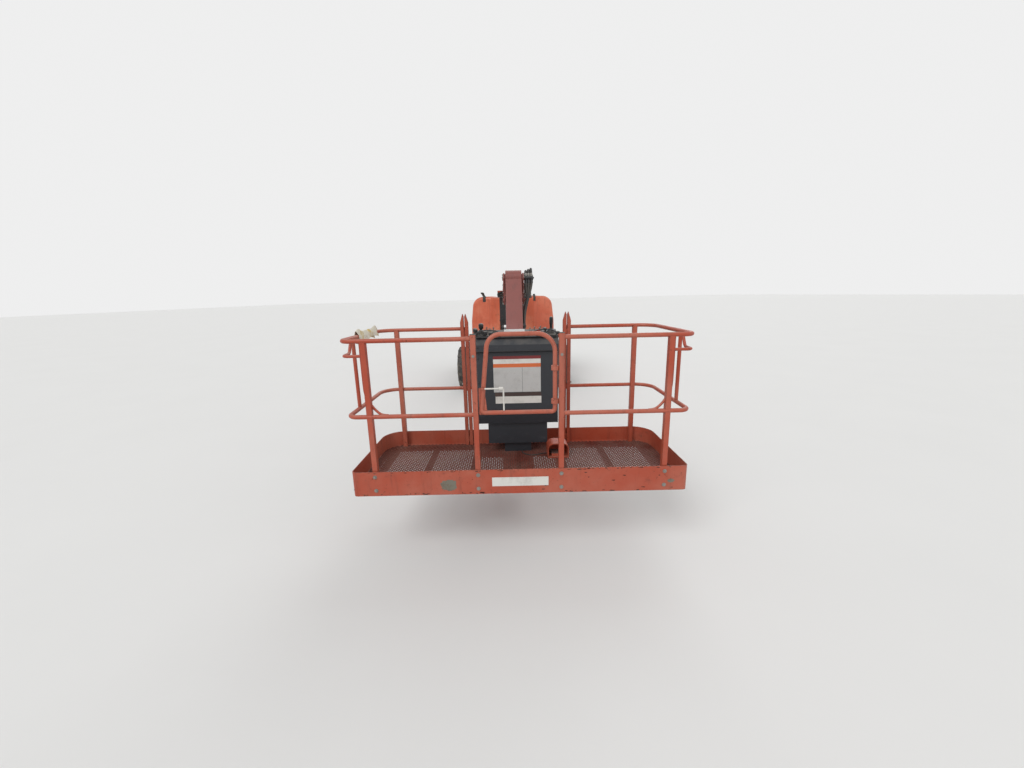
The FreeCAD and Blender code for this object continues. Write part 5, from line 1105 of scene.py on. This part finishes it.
patch, chips = Shape(), Shape()
patch.plate("y", NEAR - 0.0004, NEAR + 0.001, ragged((-0.531, 0.64), 0.054, 0.04, 40, 0.45))
patch.plate("y", NEAR - 0.0004, NEAR + 0.001, ragged((1.12, 0.64), 0.026, 0.016, 24))
for k in range(CHIPS):
    edge = random.choice((toe_high - 0.006, toe_high - 0.01, toe_low + 0.006, toe_low + 0.012,
        random.uniform(toe_low, toe_high)))
    edge = min(max(edge, toe_low + 0.005), toe_high - 0.005)
    long = random.uniform(0.003, 0.017)
    chips.plate("y", NEAR - 0.0003, NEAR + 0.001, ragged((random.uniform(-1.17, 1.17), edge), long,
        random.uniform(0.002, 0.0045), 9, 1, 0.4))
chips.settle("toe_board_chips", "platform", chipped_rust, 0, slot="rail_paint")
rail_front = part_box("platform_rails")[0][1]
# out from the middle, back from the rails' front, and up
BENT_ROD = ((1.094, 0.04, 1.712), (1.096, 0.0475, 1.69), (1.098, 0.0495, 1.6), (1.098, 0.0495, 1.4),
    (1.096, 0.0495, 1.345), (1.08, 0.0495, 1.292), (1.05, 0.0485, 1.24), (1.008, 0.044, 1.196),
    (0.978, 0.042, 1.181), (0.94, 0.042, 1.179))
corner_rods = [[(sign * x, rail_front + y, z) for x, y, z in BENT_ROD] for sign in BOTH]
hoses("corner_rods", "platform", corner_rods, 0.0095, rail_orange)
patch.settle("toe_board_scuffs", "platform", scraped_steel, 0, slot="rail_paint")

caps = Shape()
for sign in BOTH:
    caps.box((sign * 0.2885, sign * 0.3275), (gate_y - 0.0195, gate_y + 0.0195), (1.748, 1.752))
    caps.raised("x", 0, sign, ((0.43, 0.01), (0.424, 0.011), (0.42, 0.008)), (FAR - 0.03, 1.46), 16)
caps.settle("post_caps", "platform", dark_plastic, 0.001)
# the rail's middle across and up, and how far from it the cloth lies; then its columns of points, and how
# many points each has down a hem and over the rail
cloth_x, rail_top, lies = -1.229, 1.72, 0.0185
rag = bmesh.new()
COLUMNS, HEM, OVER = 48, 6, 16
grid, lengths = [], []
for k in range(COLUMNS + 1):
    share = k / COLUMNS
    puff = 0.018 + 0.03 * abs(math.sin(share * 5.2 + 0.4)) * (0.5 + 0.5 * math.sin(share * 13 + 1))
    hang_out, hang_in = 0.05 + 0.016 * math.sin(share * 7), 0.046 + 0.022 * math.sin(share * 4 + 2)
    line = [(cloth_x - lies - 0.006 * math.sin(share * 19), rail_top - hang_out * (1 - i / HEM))
        for i in range(HEM)]
    for i in range(OVER + 1):
        turn = math.pi * (1 - i / OVER)
        lift = lies + puff * math.sin(turn) ** 2 * (0.75 + 0.25 * math.cos(3 * turn + share * 9))
        line.append((cloth_x + lies * math.cos(turn), rail_top + lift * math.sin(turn)))
    line += [(cloth_x + lies + 0.005 * math.sin(share * 15 + 1) * i / HEM, rail_top - hang_in * i / HEM)
        for i in range(1, HEM + 1)]
    y = -6.9 + 0.45 * share
    grid.append([rag.verts.new((x, y + (0.3 if share > 0.5 else 0.1) * (rail_top - z), z)) for x, z in line])
    lengths.append(sum(math.dist(a, b) for a, b in zip(line, line[1:])))
for first, second in zip(grid, grid[1:]):
    for i in range(len(first) - 1):
        rag.faces.new((first[i], second[i], second[i + 1], first[i + 1]))
rag_mesh = bpy.data.meshes.new("rail_rag")
rag.to_mesh(rag_mesh)
rag.free()
rag_piece = bpy.data.objects.new("rail_rag", rag_mesh)
rag_piece.modifiers.new("thickness", "SOLIDIFY").thickness = 0.0012
stand(rag_piece, "platform", old_cloth)

# %% [markdown]
# ## Chassis and axles
#
# Underneath, the castings are bolted together: covers on the differentials, pivot caps on the knuckles,
# a drive motor with its hoses, and the big toothed ring of the swing bearing between chassis and turntable.

# %% Fit the chassis out
under = Shape()
for end in BOTH:
    y = end * AXLE_Y
    under.raised("y", y, end, ((0.14, 0.128), (0.16, 0.126), (0.172, 0.108), (0.178, 0.07), (0.179, 0.004)),
        (0, AXLE_Z), 36)
    for spot in circle(10, 0.116, (0, AXLE_Z), 0.5):
        under.bolt("y", y + end * 0.161, end, spot, 0.008)
    under.raised("y", y, end, ((0.176, 0.012), (0.188, 0.011), (0.19, 0.008)), (0.04, 0.43), 6)
for sign in BOTH:
    for x in (0.262, 0.318):
        for dy in (-0.052, 0.052):
            under.bolt("z", 0.541, -1, (sign * x, dy - AXLE_Y), 0.01)
    for face, out in ((0.592, 1), (0.322, -1)):
        under.raised("z", face, out, ((-0.002, 0.036), (0.006, 0.035), (0.01, 0.022)), (sign * 0.76, AXLE_Y))
        under.raised("z", face, out, ((0.008, 0.006), (0.016, 0.005), (0.018, 0.003)), (sign * 0.76, AXLE_Y),
            8)
under.turned("y", ((-1.096, 0.062), (-1.08, 0.074), (-1.06, 0.074), (-1.05, 0.062), (-0.965, 0.06),
    (-0.95, 0.048), (-0.948, 0.01)), (0.0, 0.47), 28)
under.settle("axle_covers", "chassis", axle_iron, 0.0012)

gear = Shape()
# share of a tooth's step, radius there
TEETH, TOOTH = 84, ((0.0, 0.4315), (0.28, 0.4315), (0.42, 0.4405), (0.78, 0.4405))
teeth = [spot for four in zip(*(circle(TEETH, radius, start=share) for share, radius in TOOTH))
    for spot in four]
gear.skin([[(x, y, z) for x, y in teeth] for z in (0.888, 0.928)])
gear.settle("swing_ring_teeth", "chassis", engine_iron, 0, slot="axle_iron")

rig = Shape()
for sign in BOTH:
    for y0, y1 in ((-0.62, -0.1), (0.1, 0.62)):
        rig.box((sign * 0.34, sign * 0.346), (y0, y1), (0.5, 0.8))
        for y in (y0 + 0.03, y1 - 0.03):
            for z in (0.53, 0.77):
                rig.bolt("x", sign * 0.346, sign, (y, z), 0.009)
    for y in (-1.36, -1.12, 1.12, 1.36):
        rig.bolt("x", sign * 0.3405, sign, (y, 0.7), 0.014)
rig.settle("chassis_covers", "chassis", frame_grey, 0.0012)
to_motor = [[(x * spread, y, z) for spread, y, z in ((1, -0.985, 0.525), (1.3, -0.97, 0.6),
    (2.2, -0.93, 0.64), (2.6, -0.905, 0.655))] for x in (-0.03, 0, 0.03)]
to_brakes = [[(side * x, y, z) for x, y, z in ((0.1, -1.22, 0.585), (0.24, -1.2, 0.556), (0.5, -1.215, 0.552),
    (0.68, -1.24, 0.56), (0.72, -1.24, 0.592))] for side in BOTH]
motor_hoses = hoses("drive_hoses", "chassis", to_motor + to_brakes, 0.009, hose_rubber)
tally("chassis", motor_hoses)

# %% [markdown]
# ## Turntable and counterweight
#
# The rim of the turntable is bolted every 34 cm, the cast counterweight hangs on large studs, and
# reflectors mark the tail. The ground controls sit behind a recess: a panel with toggles, a key switch,
# a gauge and a red stop button.

# %% Fit the turntable out
rim = Shape()
for sign in BOTH:
    for i in range(5):
        rim.bolt("x", sign * 0.905, sign, (-0.86 + i * 0.34, 0.992), 0.009)
    for x in (0.16, 0.34):
        rim.bolt("y", -1.195, -1, (sign * x, 0.992), 0.009)
    for x, y in ((0.42, 0.86), (0.6, 0.84), (0.42, 0.98), (0.6, 0.96)):
        rim.bolt("z", 1.64, 1, (sign * x, y), 0.019)
    for z in (1.05, 1.2, 1.36):
        rim.bolt("x", sign * 0.905, sign, (0.8, z), 0.012)
rim.settle("turntable_bolts", "turntable", bright_zinc, 0)
marks = Shape()
for sign in BOTH:
    turn = math.radians(90 - sign * 28)
    for z in (1.3, 1.06):
        corners = [(turn + a, z + b) for b, turns in ((-0.025, (-0.045, 0, 0.045)),
            (0.025, (0.045, 0, -0.045))) for a in turns]
        marks.skin([[(radius * math.cos(a), radius * math.sin(a), b) for a, b in corners]
            for radius in (1.2385, 1.2425)])
marks.settle("tail_reflectors", "turntable", faded_red, 0.0006)

PANEL_X = -0.881
station = Shape()
station.box((-0.8815, -0.879), (0.606, 0.733), (1.106, 1.334))
station.settle("ground_panel", "turntable", dark_plastic, 0.0008)
knobs = Shape()
for y in (0.632, 0.669, 0.706):
    for z in (1.215, 1.265):
        knobs.raised("x", PANEL_X, -1, ((0, 0.009), (0.006, 0.009), (0.007, 0.006)), (y, z), 6)
        knobs.raised("x", PANEL_X, -1, ((0.005, 0.0035), (0.015, 0.0038), (0.021, 0.005), (0.022, 0.003)),
            (y, z + 0.004), 10)
knobs.raised("x", PANEL_X, -1, ((0, 0.013), (0.008, 0.013), (0.009, 0.01)), (0.64, 1.165), 20)
knobs.raised("x", PANEL_X, -1, ((0, 0.026), (0.009, 0.026), (0.011, 0.023), (0.008, 0.021)), (0.7, 1.165), 28)
knobs.settle("ground_toggles", "turntable", glossy_black, 0.0005)
button = Shape()
button.raised("x", PANEL_X, -1, ((0, 0.01), (0.009, 0.01), (0.01, 0.017), (0.018, 0.018), (0.021, 0.012)),
    (0.669, 1.308))
button.settle("ground_stop_button", "turntable", faded_red, 0.0005)

lid = Shape()
lid.box((0.902, 0.9035), (0.6, 0.74), (1.11, 1.33))
for i in range(5):
    z = 1.15 + i * 0.028
    lid.plate("y", 0.62, 0.72, ((0.902, z + 0.012), (0.9085, z + 0.002), (0.9085, z), (0.902, z + 0.009)))
lid.turned("x", ((0.902, 0.013), (0.908, 0.012), (0.909, 0.006)), (0.67, 1.312), 18)
lid.settle("battery_lid", "turntable", frame_grey, 0.001)
print("turntable fitted out")

# %% [markdown]
# ## Under the hoods
#
# With a hood up, the engine shows as a block with its covers, pulleys, air cleaner, muffler and pipes,
# and the tanks with straps, caps and filter. Turned profiles and a few boxes carry all of it.

# %% Fill the engine bay
motor = Shape()
motor.box((0.4, 0.66), (-0.66, 0.12), (1.66, 1.7))
for i in range(4):
    motor.box((0.43, 0.63), (-0.62 + i * 0.185, -0.49 + i * 0.185), (1.7, 1.722))
for i in range(6):
    for x in (0.415, 0.645):
        motor.bolt("z", 1.7, 1, (x, -0.64 + i * 0.148), 0.007)
motor.turned("y", ((-0.02, 0.056), (0.0, 0.07), (0.3, 0.07), (0.32, 0.056)), (0.745, 1.735), 28)
motor.turned("x", ((0.8, 0.05), (0.812, 0.05), (0.815, 0.046), (0.824, 0.046), (0.826, 0.02)), (-0.52, 1.28),
    24)
motor.turned("y", ((-0.42, 0.04), (-0.4, 0.048), (-0.24, 0.048), (-0.22, 0.034)), (0.836, 1.2), 24)
for i in range(4):
    motor.bolt("x", 0.8, 1, (-0.6 + i * 0.2, 1.56), 0.014)
    motor.bolt("x", 0.8, 1, (-0.6 + i * 0.2, 1.08), 0.01)
motor.box((0.8, 0.818), (-0.62, 0.06), (1.4, 1.47))
motor.settle("engine_castings", "turntable", engine_iron, 0.002)
belt = Shape()
for x, z, radius in ((0.56, 1.22, 0.09), (0.46, 1.45, 0.05), (0.68, 1.47, 0.058)):
    belt.turned("y", ((-0.762, 0.02), (-0.772, radius * 0.96), (-0.776, radius), (-0.784, radius * 0.9),
        (-0.792, radius), (-0.796, radius * 0.96), (-0.8, 0.03), (-0.806, 0.014)), (x, z), 32)
belt.turned("z", ((1.722, 0.03), (1.73, 0.034), (1.77, 0.034), (1.776, 0.028)), (0.53, 0.05), 20)
belt.turned("y", ((-0.6, 0.07), (-0.58, 0.082), (-0.26, 0.082), (-0.25, 0.088), (-0.235, 0.088),
    (-0.215, 0.06)), (0.435, 1.812), 30)
belt.settle("engine_pulleys_and_cleaner", "turntable", dark_plastic, 0.001)
bay_hoses = hoses("engine_bay_hoses", "turntable", [
    [(0.435, -0.215, 1.812), (0.44, -0.15, 1.812), (0.5, -0.08, 1.8), (0.53, 0.02, 1.775),
     (0.53, 0.05, 1.74)],
    [(0.7, -0.78, 1.2), (0.76, -0.86, 1.24), (0.77, -0.88, 1.36), (0.74, -0.84, 1.5), (0.7, -0.765, 1.58)],
    [(-0.66, -0.34, 1.46), (-0.66, -0.345, 1.56), (-0.66, -0.3, 1.6), (-0.64, -0.22, 1.575),
     (-0.64, -0.2, 1.5)],
    [(-0.42, 0.2, 1.52), (-0.42, 0.2, 1.6), (-0.4, 0.3, 1.62), (-0.36, 0.38, 1.52), (-0.34, 0.42, 1.4)],
], 0.02, hose_rubber)
tanks = Shape()
for y0, y1, top in ((-0.84, -0.8, 1.56), (-0.55, -0.51, 1.56), (-0.2, -0.16, 1.52), (0.14, 0.18, 1.52)):
    tanks.box((-0.8035, -0.8), (y0, y1), (1.0, top + 0.003))
    tanks.box((-0.8, -0.33), (y0, y1), (top, top + 0.0035))
    tanks.bolt("x", -0.8035, -1, ((y0 + y1) / 2, 1.12), 0.008)
tanks.settle("tank_straps", "turntable", frame_grey, 0.0008)
caps_kit = Shape()
for y, top, radius in ((-0.68, 1.56, 0.05), (0.02, 1.52, 0.04)):
    caps_kit.raised("z", top, 1, ((-0.002, radius * 0.8), (0.022, radius * 0.8), (0.024, radius),
        (0.046, radius * 0.97), (0.05, radius * 0.85)), (-0.6, y), 28)
    for spot in circle(12, radius, (-0.6, y)):
        caps_kit.turned("z", ((top + 0.025, 0.005), (top + 0.045, 0.005)), spot, 6)
caps_kit.turned("z", ((1.52, 0.045), (1.6, 0.045), (1.606, 0.05), (1.622, 0.05), (1.63, 0.03)), (-0.42, 0.2),
    26)
caps_kit.box((-0.808, -0.799), (-0.02, 0.02), (1.3, 1.46))
caps_kit.settle("tank_caps", "turntable", glossy_black, 0.0008)
tally("engine bay", bay_hoses)

# %% [markdown]
# ## Cylinders and the rotator
#
# Each lift cylinder ends in a bolted gland, and banjo fittings with a steel pipe feed its rod end. The
# same drawing serves the three cylinders, in a frame laid along each one from its foot to its rod's eye.

# %% Dress the cylinders
# name, foot (y, z), eye (y, z), barrel radius, the side its pipe runs on
LIFTS = (
    ("tower", (0.59, 1.2), (-0.4552, 1.0591), 0.05, 1),
    ("main", (0.96, 1.8), (0.0, 1.835), 0.038, 1),
    ("jib", (-5.05, 1.94), (-5.4695, 1.1771), 0.028, -1),
)
BARREL_SHARE, FOOT_PORT = 0.86, -0.125
for name, foot, eye, radius, side in LIFTS:
    length = math.dist(foot, eye)
    slope = -math.atan2(eye[1] - foot[1], foot[0] - eye[0])
    along = Matrix.Translation((0, foot[0], foot[1])) @ Matrix.Rotation(slope, 4, "X")
    tip = -length * BARREL_SHARE
    gland = Shape(along)
    gland.turned("y", ((tip - 0.01, radius * 0.8), (tip - 0.008, radius * 1.06), (tip + 0.001, radius * 1.1)),
        (0, 0), 28)
    for spot in circle(8, radius * 0.93, start=0.5):
        gland.bolt("y", tip - 0.008, -1, spot, 0.0038)
    for y in (tip + 0.03, FOOT_PORT):
        gland.raised("z", 0, side, ((radius * 0.9, 0.011), (radius + 0.016, 0.011), (radius + 0.018, 0.008)),
            (0, y), 6)
    gland.settle(name + "_cylinder_gland", name + "_cylinder_barrel", cylinder_black, 0.0006,
        slot="cylinder_paint")
    high, low = side * (radius + 0.013), side * (radius + 0.009)
    pipe = [[along @ Vector(p) for p in ((0, tip + 0.03, high), (0.004, tip + 0.05, high),
        (0.006, tip * 0.55, low), (0.006, -0.18, low), (0, FOOT_PORT, high))]]
    hoses(name + "_cylinder_pipe", name + "_cylinder_barrel", pipe, 0.005, bright_zinc)

rotor = Shape()
ROTOR = (0, -6.08)
rotor.turned("z", ((0.6795, 0.07), (0.69, 0.07), (0.693, 0.062), (0.7, 0.058), (0.702, 0.01)), ROTOR, 32)
for spot in circle(8, 0.064, ROTOR):
    rotor.bolt("z", 0.6895, 1, spot, 0.006)
for x in (-0.115, 0.115):
    for z in (0.66, 0.76):
        rotor.bolt("y", -6.2545, 1, (x, z), 0.012)
rotor.settle("rotator_cap", "platform", cylinder_black, 0.0008)
print("cylinders and rotator dressed")

# %% [markdown]
# ## Floor and light
#
# A pale floor and soft, far lamps, which light the whole floor alike, show the machine plainly. The world
# is white to the camera and in reflections, and dimmer as a light, so that colours render about as they
# are written.

# %% The stage
STUDIO_PALE = (0.8, 0.8, 0.79, 1)

floor_mesh = bpy.data.meshes.new("studio_floor")
floor_mesh.from_pydata([(x, y, 0) for x, y in ((-90, -60), (90, -60), (90, 160), (-90, 160))], [],
    [(0, 1, 2, 3)])
studio_floor = bpy.data.objects.new("studio_floor", floor_mesh)
bpy.context.scene.collection.objects.link(studio_floor)
concrete = Finish("studio_concrete", Specular_IOR_Level=0.2, Roughness=0.9)
tone = concrete.mixed(STUDIO_PALE, (0.77, 0.77, 0.76, 1), concrete.noise(0.7, 5))
floor_mesh.materials.append(concrete.feed(Base_Color=tone))

world = bpy.data.worlds.new("studio")
bpy.context.scene.world = world
world.use_nodes = True
tree = world.node_tree
sky = tree.nodes["Background"]
path, seen, bright = (tree.nodes.new("ShaderNode" + kind) for kind in ("LightPath", "Math", "MapRange"))
seen.operation = "MAXIMUM"
bright.inputs["To Min"].default_value = 0.42
bright.inputs["To Max"].default_value = 0.86
for made, socket in ((path.outputs["Is Camera Ray"], seen.inputs[0]),
        (path.outputs["Is Glossy Ray"], seen.inputs[1]), (seen.outputs[0], bright.inputs["Value"]),
        (bright.outputs[0], sky.inputs["Strength"])):
    tree.links.new(made, socket)
sky.inputs["Color"].default_value = (1, 1, 1, 1)

# name, where it shines from, strength, softness in degrees
LAMPS = (("key_lamp", (-7, -10, 11), 1.5, 34), ("fill_lamp", (10, -8, 6), 0.55, 60),
    ("rim_lamp", (5, 11, 9), 0.8, 45))
for name, spot, strength, softness in LAMPS:
    lamp = bpy.data.lights.new(name, "SUN")
    lamp.energy = strength
    lamp.angle = math.radians(softness)
    holder = bpy.data.objects.new(name, lamp)
    holder.location = spot
    holder.rotation_euler = Vector(spot).to_track_quat("Z", "Y").to_euler()
    bpy.context.scene.collection.objects.link(holder)
bpy.context.scene.view_settings.view_transform = "Standard"
print(len(LAMPS), "lamps")
